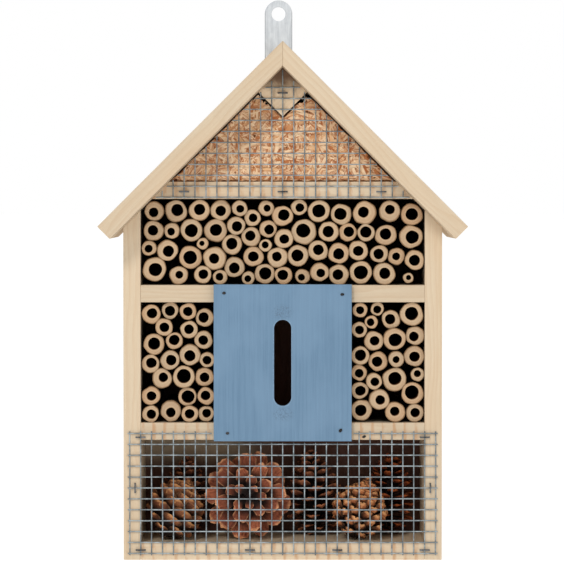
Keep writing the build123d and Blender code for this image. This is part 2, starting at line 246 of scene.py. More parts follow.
def pineFinish(name, turn, heart, seed, tone, shade, shadeTone):
    # turn brings the board's length onto X; heart is the tree's middle in that frame
    finish, flow = newFinish(name)
    look = pineLook
    place = inMillimetres(flow, turn)
    shifted = flow.vectors("ADD", place, (seed * look["seedStep"], 0, 0))
    sway = shifted.noise((0.006, 0.03, 0.03), 2.0)
    ripple = shifted.noise((0.02, 0.11, 0.11), 2.0)
    offHeart = flow.vectors("SUBTRACT", place, (0, *heart))
    flat = flow.vectors("MULTIPLY", offHeart, (0, 1, 1))
    radius = flow.vectors("LENGTH", flat, output="Value")
    rings = (radius + sway * look["ringSway"] + ripple * look["ringRipple"]) / look["ringPitch"]
    phase = flow.maths("FRACT", rings)
    # each ring darkens slowly to its late wood, then drops back
    late = phase.spread(0.25, 0.92) * phase.spread(0.93, 1.0, 1.0, 0.0)
    fibres = shifted.noise((0.05, 3.2, 3.2), 3.0, 0.6)
    fine = shifted.noise((0.22, 8.0, 8.0), 2.0, 0.6)
    patches = shifted.noise((0.012, 0.05, 0.05), 2.0)
    early = tuple(level * tone for level in look["early"])
    lateTone = tuple(level * tone for level in look["late"])
    base = layered(
        early,
        (late * look["ringShare"], lateTone),
        (patches.spread(0.45, 0.75) * look["warmShare"], look["warm"]),
        (fibres.spread(0.3, 0.75) * look["fibreShare"], lateTone),
        (fine.spread(0.62, 0.74) * look["poreShare"], look["pore"]),
    )
    # painted shade or painted shadows over the board's colour, where the board has them
    if shade:
        base = layered(base, (shade(flow), look[shadeTone]))
    height = fibres * 0.5 + fine * 0.35 + (1 - late) * 0.25
    finishSurface(
        flow, base, late * 0.08 + look["roughness"] - fibres * 0.08, height, look["relief"],
        Specular_IOR_Level=0.35,
    )
    return finish


paintLook = {
    "blue": (107, 138, 165),
    "pale": (119, 149, 176),
    "grey": (99, 129, 156),
    "cutEdge": (150, 178, 204),
    "smudge": (92, 112, 132),
    "smudgeDrop": 9.5,     # mm that the smudge lies past the straight part of the slot
    "roughness": 0.65,
    "relief": 0.12,
}


def bluePaintFinish(slotMiddle, slotReach):
    # thin matt stain on plywood: the grain shows through as upright streaks
    finish, flow = newFinish("blueStain")
    look = paintLook
    place = inMillimetres(flow, grainTurn["Z"])
    streaks = place.noise((0.022, 0.5, 0.9), 3.0, 0.55)
    fine = place.noise((0.12, 2.6, 2.6), 3.0, 0.6)
    grit = place.noise(2.4, 2.0, 0.6)
    blotch = place.noise((0.03, 0.05, 0.05), 2.0)
    world = inMillimetres(flow)
    # distance from the slot's outline, as a stadium
    offSlot = flow.vectors("SUBTRACT", world, slotMiddle)
    across, up = offSlot.part(0), offSlot.part(2)
    over = flow.maths("MAXIMUM", flow.maths("ABSOLUTE", up) - slotReach[1], 0.0)
    away = flow.maths("SQRT", across * across + over * over) - slotReach[0]
    fuzz = (away + world.noise(0.9, 3.0, 0.6) * 1.4).spread(0.5, 1.6, 1.0, 0.0)
    drop = over - look["smudgeDrop"]
    spot = flow.maths("SQRT", across * across * 0.5 + drop * drop).spread(2.0, 5.5, 1.0, 0.0)
    base = layered(
        look["grey"],
        (streaks.spread(0.3, 0.7), look["blue"]),
        (blotch.spread(0.4, 0.7) * 0.5, look["pale"]),
        (fine.spread(0.35, 0.8) * 0.28, look["pale"]),
        (grit.spread(0.66, 0.8) * 0.22, look["grey"]),
        (fuzz * 0.6, look["cutEdge"]),
        (spot * world.noise(1.1, 3.0, 0.7).spread(0.45, 0.65) * 0.9, look["smudge"]),
    )
    height = fine * 0.5 + streaks * 0.4 + grit * 0.2
    finishSurface(
        flow, base, fine * 0.12 + look["roughness"], height, look["relief"],
        Specular_IOR_Level=0.3,
    )
    return finish


zincLook = {
    "light": (224, 229, 233),
    "dark": (190, 196, 202),
    "dull": (170, 176, 182),
    "edge": (96, 100, 106),
    "edgeWidth": 0.6,      # mm
    "roughness": 0.36,
    "metal": 0.3,
    "relief": 0.03,
}


def zincPlateFinish():
    # rolled galvanised strip: long upright streaks, a faint spangle, darker sheared edges
    finish, flow = newFinish("zincPlate")
    look = zincLook
    place = inMillimetres(flow)
    streaks = place.noise((0.5, 0.5, 0.09), 3.0, 0.6)
    hair = place.noise((3.0, 3.0, 0.12), 2.0, 0.6)
    spangle = flow.node("TexVoronoi", None, {"Vector": place, "Scale": 0.32}, "Color")
    flake = flow.node("SeparateColor", None, {0: spangle}, 0)
    stain = place.noise(0.09, 3.0, 0.6)
    tone = streaks.spread(0.3, 0.72) * 0.6 + hair.spread(0.35, 0.7) * 0.25 + flake * 0.15
    off = flow.maths("ABSOLUTE", place.part(0) - hangerMiddle / mm)
    edge = (off + hair * 0.3).spread(hangerHalf / mm - look["edgeWidth"], hangerHalf / mm)
    base = layered(
        look["dark"], (tone, look["light"]),
        (stain.spread(0.55, 0.75) * 0.45, look["dull"]), (edge * 0.5, look["edge"]),
    )
    finishSurface(
        flow, base, streaks * 0.2 + flake * 0.08 + look["roughness"],
        hair * 0.6 + streaks * 0.4, look["relief"], look["metal"],
    )
    return finish


metalLook = {
    # light and dark tone, how metallic, roughness
    "wireZinc": ((172, 183, 188), (112, 122, 127), 0.25, 0.45),
    "stapleSteel": ((120, 124, 128), (58, 60, 64), 0.8, 0.3),
    "nailSteel": ((74, 74, 76), (24, 23, 24), 0.45, 0.42),
    "screwSteel": ((196, 190, 170), (128, 120, 100), 0.85, 0.28),
}


def metalFinish(name):
    light, dark, metal, rough = metalLook[name]
    finish, flow = newFinish(name)
    place = inMillimetres(flow)
    patches = place.noise(0.25, 3.0, 0.6)
    specks = place.noise(2.2, 2.0, 0.6)
    base = layered(
        dark, (patches.spread(0.35, 0.7), light), (specks.spread(0.6, 0.72) * 0.5, dark)
    )
    finishSurface(flow, base, patches * 0.2 + rough, specks, 0.03, metal)
    return finish


print("finishes ready")


def placed(name, data):
    # a new object in the scene
    thing = bpy.data.objects.new(name, data)
    scene.collection.objects.link(thing)
    return thing


def finished(name, mesh, nodes, finish=None, roundTo=None):
    # a finished piece: in place, riding on the house, standing for its CAD nodes.
    # Edges of up to roundTo degrees look round; without it the faces look flat
    piece = placed(name, mesh)
    if finish:
        mesh.materials.append(finish)
    for face in mesh.polygons:
        face.use_smooth = roundTo is not None
    if roundTo is not None:
        mesh.set_sharp_from_angle(angle=math.radians(roundTo))
    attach(piece, "root")
    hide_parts(*nodes)


def taken(maker):
    # the object's evaluated result as a plain mesh; the object itself goes
    graph = bpy.context.evaluated_depsgraph_get()
    mesh = bpy.data.meshes.new_from_object(maker.evaluated_get(graph), depsgraph=graph)
    data = maker.data
    bpy.data.objects.remove(maker)
    if data and data.users == 0:
        (bpy.data.curves if isinstance(data, bpy.types.Curve) else bpy.data.meshes).remove(data)
    return mesh


def drawnMesh(name, shape):
    # a drawn shape as a mesh with its faces turned outwards; the drawing goes
    bmesh.ops.recalc_face_normals(shape, faces=shape.faces[:])
    mesh = bpy.data.meshes.new(name)
    shape.to_mesh(mesh)
    shape.free()
    return mesh


def turnOut(mesh, merge=0.0):
    # turns the faces of closed shapes outwards, after merging points that meet
    shape = bmesh.new()
    shape.from_mesh(mesh)
    if merge:
        bmesh.ops.remove_doubles(shape, verts=shape.verts[:], dist=merge)
    bmesh.ops.recalc_face_normals(shape, faces=shape.faces[:])
    shape.to_mesh(mesh)
    shape.free()


def joinMeshes(name, meshes):
    shape = bmesh.new()
    for mesh in meshes:
        shape.from_mesh(mesh)
    whole = bpy.data.meshes.new(name)
    shape.to_mesh(whole)
    shape.free()
    return whole


def addPrism(shape, near, far):
    # a closed shape between two outlines of as many points
    near = [shape.verts.new(point) for point in near]
    far = [shape.verts.new(point) for point in far]
    shape.faces.new(near)
    shape.faces.new(far[::-1])
    for i in range(len(near)):
        j = (i + 1) % len(near)
        shape.faces.new((near[i], far[i], far[j], near[j]))


def addTurned(shape, middle, stations, sides, lean=0.0):
    # a closed skin through ovals of (half width, half height, y); one without size is a point
    last = None
    for across, up, y in stations:
        ring = []
        for i in range(sides if across > 1e-6 else 1):
            x = across * math.cos(fullTurn * i / sides)
            z = up * math.sin(fullTurn * i / sides)
            ring.append(shape.verts.new((
                middle.x + x * math.cos(lean) - z * math.sin(lean), y,
                middle.z + x * math.sin(lean) + z * math.cos(lean),
            )))
        if last:
            for i in range(sides):
                pair = (i, (i + 1) % sides)
                corner = [last[k % len(last)] for k in pair]
                corner += [ring[k % len(ring)] for k in reversed(pair)]
                unique = list(dict.fromkeys(corner))
                if len(unique) > 2:
                    shape.faces.new(unique)
        last = ring


def boardMesh(name, outline, front, rear, ease):
    # a board whose end is drawn as (x, z) corners, with eased edges
    shape = bmesh.new()
    addPrism(shape, [(x, front, z) for x, z in outline], [(x, rear, z) for x, z in outline])
    bmesh.ops.recalc_face_normals(shape, faces=shape.faces[:])
    bmesh.ops.bevel(
        shape, geom=shape.edges[:], offset=ease, segments=2, profile=0.6, affect="EDGES"
    )
    return drawnMesh(name, shape)


def boxCorners(low, high):
    return [(low.x, low.z), (high.x, low.z), (high.x, high.z), (low.x, high.z)]


def span(places):
    # the lowest and the highest corner of some points
    return (
        Vector(min(place[i] for place in places) for i in range(3)),
        Vector(max(place[i] for place in places) for i in range(3)),
    )


def corners(node):
    low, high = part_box(node)
    return Vector(low), Vector(high)


baseLow, baseHigh = corners("bottom_board")
battenLow, battenHigh = corners("ridge_batten")
boardThick = baseHigh.z - baseLow.z
frameFront = baseLow.y
ridgeInside = battenHigh.z


boardPlan = {
    "ease": 0.45,          # mm rounded off the edges
    "roofEase": 0.4,
    "backEase": 0.25,
    "wirePitch": 6.35,     # mm between the wires whose painted shadows lie on the boards behind them
    # how strong the painted wire shadows, the painted shade under the ridge and the painted shade
    # in the cone room are
    "wireShadowShare": 0.55,
    "apexShare": 0.92,
    "roomShare": 0.985,
    "roomPale": 0.86,      # how much lighter the upper left of the cone room's back is
    # boards that get painted wire shadows
    "wireShadow": ("gable_beam", "lower_shelf", "bottom_board"),
    # node: grain direction, tree's middle across the grain, seed, tone
    "grain": {
        "left_side_board": ("Z", (64, -38), 1, 1.0),
        "right_side_board": ("Z", (-52, 44), 2, 1.0),
        "bottom_board": ("X", (70, -30), 3, 1.03),
        "lower_shelf": ("X", (60, 96), 4, 0.96),
        "upper_shelf": ("X", (-44, 210), 5, 0.96),
        "gable_beam": ("X", (-60, 170), 6, 1.0),
        "left_divider": ("Z", (40, 30), 7, 0.95),
        "right_divider": ("Z", (40, -30), 8, 0.95),
        "left_roof_board": ("L", (80, 20), 9, 0.96),
        "right_roof_board": ("R", (70, -16), 10, 0.98),
        "ridge_batten": ("Y", (30, 300), 11, 1.13),
        "back_panel": ("Z", (150, 90), 12, 0.9),
    },
}


def boardOutline(node):
    low, high = corners(node)
    if node == "left_side_board":
        return [(low.x, low.z), (high.x, low.z), (high.x, high.z), (low.x, high.z - boardThick)]
    if node == "right_side_board":
        return [(low.x, low.z), (high.x, low.z), (high.x, high.z - boardThick), (low.x, high.z)]
    if node == "gable_beam":
        step = high.z - low.z
        return [(low.x, low.z), (high.x, low.z), (high.x - step, high.z), (low.x + step, high.z)]
    if node == "ridge_batten":
        middle = (low.z + high.z) / 2
        return [(0, low.z), (high.x, middle), (0, high.z), (low.x, middle)]
    if node == "back_panel":
        eave = high.z - high.x
        return [(low.x, low.z), (high.x, low.z), (high.x, eave), (0, high.z), (low.x, eave)]
    if node.endswith("roof_board"):
        side = 1 if node.startswith("right") else -1
        reach = max(abs(low.x), abs(high.x))
        step = boardThick / math.sqrt(2)
        outline = [
            (0, ridgeInside), (reach - step, high.z - reach - step),
            (reach, high.z - reach), (0, high.z),
        ]
        return [(side * x, z) for x, z in outline][::side]
    return boxCorners(low, high)


def roomShade(flow):
    # painted shade: the back panel's inner face is darkened, except at the upper left of the cone
    # room, where light reaches it
    place = inMillimetres(flow)
    x, y, z = place.part(0), place.part(1), place.part(2)
    innerFace = corners("back_panel")[0].y / mm
    inside = (y - innerFace).spread(0.6, 1.6, 1.0, 0.0)
    pale = (x + place.noise(0.06, 2.0) * 30).spread(-30.0, 12.0, 1.0, 0.0) * z.spread(46.0, 62.0)
    belowShelf = z.spread(76.0, 78.0, 1.0, 0.0)
    return inside * (1 - pale * belowShelf * boardPlan["roomPale"]) * boardPlan["roomShare"]


def paintedWireShadow(flow):
    # painted shadows: brown lines just beside the galvanised wires on the boards behind them,
    # where the wires' shadows fall
    place = inMillimetres(flow)
    x, y = place.part(0), place.part(1)
    pitch = boardPlan["wirePitch"]
    beside = flow.maths("FRACT", x / pitch + 100.0) * pitch
    ragged = place.noise((0.3, 0.1, 0.14), 3.0, 0.6)
    line = beside.spread(0.1, 0.8) * (beside - ragged * 2.4).spread(0.0, 2.0, 1.0, 0.0)
    front = (y - frameFront / mm).spread(0.2, 0.9, 1.0, 0.0)
    sides = flow.maths("ABSOLUTE", x).spread(84.0, 88.0, 1.0, 0.0)
    return line * front * sides * ragged.spread(0.3, 0.65) * boardPlan["wireShadowShare"]


def apexShade(flow):
    # painted shade: the batten's end is darkened brown under the ridge, where the roof shades it,
    # and beside the wires, where their painted shadows fall
    place = inMillimetres(flow)
    top = (place.part(2) + place.noise(0.16, 3.0, 0.6) * 9).spread(275.0, 285.0)
    return flow.maths("MAXIMUM", top * boardPlan["apexShare"], paintedWireShadow(flow) * 0.8)


def makeBoards():
    # painted shade in the cone room and under the ridge, painted wire shadows on the boards behind
    # the mesh
    shades = {"back_panel": (roomShade, "shaded"), "ridge_batten": (apexShade, "battenShade")}
    for node in boardPlan["wireShadow"]:
        shades[node] = (paintedWireShadow, "wireShadow")
    for node, (grain, heart, seed, tone) in boardPlan["grain"].items():
        low, high = corners(node)
        ease = boardPlan["roofEase"] if "roof" in node else boardPlan["ease"]
        if node == "back_panel":
            ease = boardPlan["backEase"]
        mesh = boardMesh(node + "Wood", boardOutline(node), low.y, high.y, ease * mm)
        shade = shades.get(node, (None, None))
        finish = pineFinish(node + "Pine", grainTurn[grain], heart, seed, tone, *shade)
        finished(node + "Wood", mesh, [node], finish)


makeBoards()
print("boards made")


def newGrowth(name, sizes):
    # a Geometry Nodes tree with named inputs and their first values
    kinds = {float: "Float", int: "Int", type(None): "Material"}
    tree = bpy.data.node_groups.new(name, "GeometryNodeTree")
    for way in ("OUTPUT", "INPUT"):
        tree.interface.new_socket("Geometry", in_out=way, socket_type="NodeSocketGeometry")
    for label, value in sizes.items():
        kind = "NodeSocket" + kinds[type(value)]
        tree.interface.new_socket(label, in_out="INPUT", socket_type=kind).default_value = value
    inputs = tree.nodes.new("NodeGroupInput")
    given = {socket.name: Flow(tree, socket) for socket in inputs.outputs if socket.name}
    return tree, Flow(tree), given


def endGrowth(flow, shape, finish):
    shape = flow.node("GeometryNodeRealizeInstances", None, {0: shape})
    shape = flow.node("GeometryNodeSetMaterial", None, {"Geometry": shape, "Material": finish})
    flow.node("NodeGroupOutput", None, {0: shape})


def copied(flow, unit, points, **way):
    # a copy of the unit shape on every point, as real geometry
    shape = flow.node(
        "GeometryNodeObjectInfo", {"transform_space": "ORIGINAL"}, {"Object": unit}, "Geometry"
    )
    copies = flow.node(
        "GeometryNodeInstanceOnPoints", None, {"Points": points, "Instance": shape, **way}
    )
    return flow.node("GeometryNodeRealizeInstances", None, {0: copies})


def chance(given, low, high, shift, kind="FLOAT"):
    # a random value for each point; shift tells one draw from the next
    first, output = {"FLOAT": (2, 1), "FLOAT_VECTOR": (0, 0)}[kind]
    return given["Seed"].node(
        "FunctionNodeRandomValue", {"data_type": kind},
        {first: low, first + 1: high, "Seed": given["Seed"] + float(shift)}, output,
    )


def grown(name, tree, seedMesh, sizes):
    # runs a tree on a starting mesh, and gives the result as a plain mesh
    maker = placed(name + "Maker", seedMesh)
    growth = maker.modifiers.new("growth", "NODES")
    growth.node_group = tree
    for item in tree.interface.items_tree:
        if item.item_type == "SOCKET" and item.in_out == "INPUT" and item.name in sizes:
            growth[item.identifier] = sizes[item.name]
    bpy.context.view_layer.update()
    mesh = taken(maker)
    mesh.name = name
    # only the finish that the faces use stays
    finish = mesh.materials[mesh.polygons[0].material_index]
    mesh.materials.clear()
    mesh.materials.append(finish)
    for face in mesh.polygons:
        face.material_index = 0
    return mesh


def looseParts(node):
    # each solid of a CAD node as its lowest and highest corner and its points
    shape = bmesh.new()
    shape.from_mesh(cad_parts[node].data)
    bmesh.ops.remove_doubles(shape, verts=shape.verts[:], dist=1e-6)
    waiting = set(shape.verts)
    found = []
    while waiting:
        start = waiting.pop()
        group, edge = [start], [start]
        while edge:
            point = edge.pop()
            for line in point.link_edges:
                other = line.other_vert(point)
                if other in waiting:
                    waiting.discard(other)
                    group.append(other)
                    edge.append(other)
        places = [point.co.copy() for point in group]
        found.append((*span(places), places))
    shape.free()
    return sorted(found, key=lambda part: tuple(round(value, 6) for value in part[0]))


def setAttribute(mesh, name, kind, values):
    holder = mesh.attributes.new(name, kind, "POINT")
    flat = [part for value in values for part in (value if kind == "FLOAT_VECTOR" else [value])]
    holder.data.foreach_set("vector" if kind == "FLOAT_VECTOR" else "value", flat)


def fitMesh(mesh, low, high):
    # presses a mesh's points into a box, against rounding
    for point in mesh.vertices:
        point.co = [min(max(point.co[i], low[i]), high[i]) for i in range(3)]


plateLook = {
    "panelEase": 0.35,     # mm rounded off the panel's edges
    "hangerEase": 0.22,
    "slotSteps": 24,
    "hangerSteps": 40,
    "screwSteps": 16,
    # the CAD's own sizes, in metres
    "slotHalfWidth": 0.005,
    "slotHalfRun": 0.020,
    "hangerHole": 0.0042,
    "screwHole": 0.0017,
}


def arcPoints(centre, radius, start, end, steps):
    turns = [math.radians(start + (end - start) * i / steps) for i in range(steps + 1)]
    return [
        (centre[0] + radius * math.cos(turn), centre[1] + radius * math.sin(turn))
        for turn in turns
    ]


def plateMesh(name, outlines, low, high, ease):
    # a flat plate cut to outlines in x and z, the first round the rest
    drawing = bpy.data.curves.new(name, "CURVE")
    drawing.dimensions = "2D"
    drawing.fill_mode = "BOTH"
    drawing.extrude = (high.y - low.y) / 2 - ease
    drawing.bevel_depth = ease
    drawing.bevel_resolution = 2
    drawing.offset = -ease
    for outline in outlines:
        line = drawing.splines.new("POLY")
        line.points.add(len(outline) - 1)
        for point, (x, z) in zip(line.points, outline):
            point.co = (x, z, 0, 1)
        line.use_cyclic_u = True
    mesh = taken(placed(name, drawing))
    upright = Matrix.Rotation(math.pi / 2, 4, "X")
    mesh.transform(Matrix.Translation((0, (low.y + high.y) / 2, 0)) @ upright)
    turnOut(mesh, merge=2e-6)
    mesh.materials.clear()
    fitMesh(mesh, low, high)
    return mesh


def makePanel():
    low, high = corners("butterfly_panel")
    steps, half, run = plateLook["slotSteps"], plateLook["slotHalfWidth"], plateLook["slotHalfRun"]
    x, z = (low.x + high.x) / 2, (low.z + high.z) / 2
    slot = arcPoints((x, z + run), half, 0, 180, steps)
    slot += arcPoints((x, z - run), half, 180, 360, steps)
    ease = plateLook["panelEase"] * mm
    mesh = plateMesh("panel", [boxCorners(low, high), slot], low, high, ease)
    finish = bluePaintFinish((x / mm, low.y / mm, z / mm), (half / mm, run / mm))
    finished("butterflyPanelWood", mesh, ["butterfly_panel"], finish)


hangerLow, hangerHigh = corners("hanger_plate")
hangerHalf = (hangerHigh.x - hangerLow.x) / 2
hangerMiddle = (hangerHigh.x + hangerLow.x) / 2


def makeHanger():
    centre = (hangerMiddle, hangerHigh.z - hangerHalf)
    steps = plateLook["hangerSteps"]
    outer = arcPoints(centre, hangerHalf, 0, 180, steps)
    outer += [(hangerLow.x, hangerLow.z), (hangerHigh.x, hangerLow.z)]
    holes = [arcPoints(centre, plateLook["hangerHole"], 0, 360, steps)[:-1]]
    for low, high, _ in looseParts("hanger_screws"):
        middle = (hangerMiddle, (low.z + high.z) / 2)
        circle = arcPoints(middle, plateLook["screwHole"], 0, 360, plateLook["screwSteps"])
        holes.append(circle[:-1])
    ease = plateLook["hangerEase"] * mm
    mesh = plateMesh("hangerPlate", [outer, *holes], hangerLow, hangerHigh, ease)
    finished("hangerPlateSteel", mesh, ["hanger_plate"], zincPlateFinish())


screwLook = {
    "crossReach": 1.9,     # mm from the middle to the tip of the cross
    "crossWidth": 0.75,
    "crossDepth": 1.1,
    "crossTurn": 0.4,      # radians
    "crossTaper": 0.45,    # the cross's floor as a share of its mouth
    "headDepth": 2.0,
    "shank": 1.55,         # mm, the shank's radius
    "threadRoot": 0.72,    # share of the shank's radius
    "threadCrest": 0.97,
    "pointFrom": 0.85,     # share of the shank at which it starts to narrow
    "sides": 24,
    "threads": 12,
    # the pan head from its middle outwards: share of the radius, share of the depth
    "head": ((0.0, 0.0), (0.45, 0.0), (0.72, 0.12), (0.92, 0.36), (1.0, 0.7), (1.0, 1.0)),
}


def screwMesh(name, low, high):
    # pan head, shank and thread, pointing to the front
    look = screwLook
    radius = (high.x - low.x) / 2
    depth, shank = look["headDepth"] * mm, look["shank"] * mm
    under = high.y - depth
    rings = [(radius * r, high.y - depth * d) for r, d in look["head"]]
    rings.append((shank, under))
    last = look["threads"] * 2
    for index in range(last + 1):
        share = index / last
        width = shank * look["threadCrest" if index % 2 else "threadRoot"]
        if share >= look["pointFrom"]:
            width *= (1 - share) / (1 - look["pointFrom"])
        rings.append((max(width, 0.0), under - (under - low.y) * (0.04 + 0.96 * share)))
    shape = bmesh.new()
    addTurned(shape, (low + high) / 2, [(r, r, y) for r, y in rings], look["sides"])
    return drawnMesh(name, shape)


def crossMesh(name, middle, rear):
    # the cutter for the cross recess
    look = screwLook
    reach, half = look["crossReach"] * mm, look["crossWidth"] * mm / 2
    taper, floor = look["crossTaper"], rear - look["crossDepth"] * mm
    outline = []
    for turn in range(4):
        angle = turn * math.pi / 2 + look["crossTurn"]
        for along, across in ((half, -half), (reach, -half * 0.8), (reach, half * 0.8)):
            outline.append((
                along * math.cos(angle) - across * math.sin(angle),
                along * math.sin(angle) + across * math.cos(angle),
            ))
    shape = bmesh.new()
    addPrism(
        shape,
        [(middle.x + x, rear + mm / 2, middle.z + z) for x, z in outline],
        [(middle.x + x * taper, floor, middle.z + z * taper) for x, z in outline],
    )
    return drawnMesh(name, shape)


def cutMesh(mesh, cutter):
    body, tool = placed("cutBody", mesh), placed("cutTool", cutter)
    cut = body.modifiers.new("cut", "BOOLEAN")
    cut.operation = "DIFFERENCE"
    cut.solver = "EXACT"
    cut.object = tool
    bpy.context.view_layer.update()
    result = taken(body)
    bpy.data.objects.remove(tool)
    return result


def makeScrews(finish):
    screws = []
    for index, (low, high, _) in enumerate(looseParts("hanger_screws")):
        cutter = crossMesh("cross", (low + high) / 2, high.y)
        screws.append(cutMesh(screwMesh(f"screw{index}", low, high), cutter))
    mesh = joinMeshes("hangerScrews", screws)
    finished("hangerScrewsSteel", mesh, ["hanger_screws"], finish, 35)


wireLook = {
    "sides": 8,
    "station": 3.175,      # mm between the points of a wire
    "sway": 0.16,          # mm that a wire wanders
    "swayReach": 26.0,     # mm over which it wanders
    "swayDepth": 0.35,     # share of the sway that a cross wire has to front and back
    "weldSink": 0.12,      # mm that cross wires are pressed into the uprights
    "lowerSeed": 3,
    "gableSeed": 11,
}


def wireGrowth(finish):
    tree, flow, given = newGrowth("wireGrowth", {
        "Wire Radius": 0.00035, "Sides": 8, "Sway": 0.0001, "Sway Scale": 30.0, "Seed": 0.0,
    })
    place = flow.node("GeometryNodeInputPosition")
    wave = flow.node(
        "TexNoise", {"noise_dimensions": "4D"},
        {"Vector": place, "W": given["Seed"] + flow.named("wireNumber") * 3.7,
         "Scale": given["Sway Scale"], "Detail": 1.0}, "Color",
    )
    drift = flow.vectors("SUBTRACT", wave, (0.5, 0.5, 0.5))
    push = flow.node(
        "VectorMath", {"operation": "SCALE"}, {0: drift, "Scale": given["Sway"] * 2.0}, "Vector"
    )
    # freedom holds back what would bend a wire out of its row
    limited = flow.vectors("MULTIPLY", push, flow.named("freedom", "FLOAT_VECTOR"))
    line = given["Geometry"].moved(Offset=limited)
    ring = flow.node(
        "GeometryNodeCurvePrimitiveCircle", None,
        {"Resolution": given["Sides"], "Radius": given["Wire Radius"]},
    )
    curve = flow.node("GeometryNodeMeshToCurve", None, {"Mesh": line})
    tube = flow.node(
        "GeometryNodeCurveToMesh", None,
        {"Curve": curve, "Profile Curve": ring, "Fill Caps": True},
    )
    endGrowth(flow, tube, finish)
    return tree


def makeWires(node, tree, seed):
    points, edges, numbers, freedom = [], [], [], []
    for number, (low, high, _) in enumerate(looseParts(node)):
        size, middle = high - low, (low + high) / 2
        axis = max(range(3), key=lambda i: size[i])
        count = max(2, round(size[axis] / (wireLook["station"] * mm)))
        free = [1.0, 0.0, 1.0]
        if axis == 0:
            middle.y += wireLook["weldSink"] * mm
            free[1] = wireLook["swayDepth"]
        free[axis] = 0.0
        edges += [(len(points) + i, len(points) + i + 1) for i in range(count)]
        for index in range(count + 1):
            point = middle.copy()
            point[axis] = low[axis] + size[axis] * index / count
            points.append(point)
            numbers.append(float(number))
            freedom.append(free)
    paths = bpy.data.meshes.new(node + "Paths")
    paths.from_pydata(points, edges, [])
    setAttribute(paths, "wireNumber", "FLOAT", numbers)
    setAttribute(paths, "freedom", "FLOAT_VECTOR", freedom)
    mesh = grown(node + "Wires", tree, paths, {
        "Wire Radius": size.y / 2,
        "Sides": wireLook["sides"],
        "Sway": wireLook["sway"] * mm,
        "Sway Scale": 1 / (wireLook["swayReach"] * mm),
        "Seed": float(seed),
    })
    fitMesh(mesh, *corners(node))
    finished(node + "Wires", mesh, [node])


tackLook = {
    "across": 1.15,        # mm, half the head's longer side
    "up": 0.8,
    "dome": 0.5,
    "neck": 0.6,           # mm behind the face at which the shank starts
    "shank": 0.7,          # mm, the shank's radius
    "point": 2.0,
    "lean": 0.5,           # radians that the oval may lie over
    "sides": 20,
    # the head from its middle outwards: share of the size, share of the dome
    "head": ((0.0, 0.0), (0.55, 0.05), (0.85, 0.16), (1.0, 0.36), (1.0, 0.55), (0.8, 0.7)),
}


def makeTacks(node, finish, seed):
    # small hammered heads, each a little oval and aslant, on round shanks
    draw = random.Random(seed)
    look = tackLook
    shape = bmesh.new()
    for low, high, _ in looseParts(node):
        turn = draw.uniform(-1, 1) * look["lean"] + 0.4
        wide = look["across"] * draw.uniform(0.9, 1.1) * mm
        tall = look["up"] * draw.uniform(0.9, 1.15) * mm
        dome, shank = look["dome"] * mm / look["head"][-1][1], look["shank"] * mm
        stations = [(wide * r, tall * r, low.y + dome * d) for r, d in look["head"]]
        stations += [
            (shank, shank, low.y + look["neck"] * mm), (shank, shank, high.y - look["point"] * mm),
            (0.0, 0.0, high.y),
        ]
        addTurned(shape, (low + high) / 2, stations, look["sides"], turn)
    finished(node + "Tacks", drawnMesh(node + "Tacks", shape), [node], finish, 40)


def finishNode(node, finish):
    # a CAD node whose shape is right gets a better finish
    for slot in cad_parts[node].material_slots:
        slot.material = finish


def makeMetal():
    steel = {name: metalFinish(name) for name in metalLook}
    makePanel()
    makeHanger()
    makeScrews(steel["screwSteel"])
    tree = wireGrowth(steel["wireZinc"])
    makeWires("lower_mesh", tree, wireLook["lowerSeed"])
    makeWires("gable_mesh", tree, wireLook["gableSeed"])
    for node in ("lower_mesh_staples", "gable_mesh_staples"):
        finishNode(node, steel["stapleSteel"])
    makeTacks("panel_nails", steel["nailSteel"], 4)
    makeTacks("mesh_nail", steel["nailSteel"], 9)
    for node in (
        "left_side_nails", "right_side_nails", "left_roof_nails",
        "right_roof_nails", "divider_nails", "back_panel_nails",
    ):
        finishNode(node, steel["nailSteel"])


makeMetal()
print("panel, hanger, wires and fasteners made")


caneLook = {
    "sides": 28,
    "lobe": 0.36,          # share of the radius that the outside wanders
    "boreLobe": 0.3,
    "widestBore": 0.86,    # share of the outside
    "offCentre": 0.5,      # share of the wall that the bore is off the middle
    "sawTilt": 0.55,       # mm that a sawn end leans
    "sawRough": 0.5,
    "tan": (194, 167, 135),
    "orange": (188, 149, 112),
    "grey": (176, 155, 129),
    "pale": (214, 190, 154),
    "skin": (124, 94, 62),
    "fibre": (150, 118, 82),
    "boreWall": (126, 74, 40),
    # painted shade inside the bores and between the canes, and how far behind the sawn end it
    # starts
    "deepShade": (20, 11, 7),
    "darkFrom": 0.8,       # mm behind the sawn end
    "roughness": 0.58,
    "relief": 0.12,
}

# share of the wall from bore to skin, share of the length, and mm behind the sawn end
caneStations = [
    (1.0, 1.0, 0.0), (1.0, 0.12, 0.0), (1.0, 0.0, 1.6), (1.0, 0.0, 0.3), (0.95, 0.0, 0.05),
    (0.78, 0.0, 0.0), (0.45, 0.0, 0.06), (0.14, 0.0, 0.02), (0.02, 0.0, 0.22),
    (0.0, 0.0, 1.2), (0.0, 0.12, 0.0), (0.0, 1.0, 0.0),
]


def unitCane():
    # a tube of stations, whose points only carry where they belong
    sides, count = caneLook["sides"], len(caneStations)
    turns = [fullTurn * side / sides for side in range(sides)]
    points = [(math.sin(turn), 0, math.cos(turn)) for _ in caneStations for turn in turns]
    faces = []
    for station in range(count):
        here, after = station * sides, (station + 1) % count * sides
        for side in range(sides):
            beside = (side + 1) % sides
            faces.append((here + side, here + beside, after + beside, after + side))
    mesh = bpy.data.meshes.new("unitCane")
    mesh.from_pydata(points, [], faces)
    for index, name in enumerate(("ring", "run", "step")):
        values = [station[index] for station in caneStations for _ in turns]
        setAttribute(mesh, name, "FLOAT", values)
    setAttribute(mesh, "side", "FLOAT_VECTOR", points)
    return placed("unitCane", mesh)


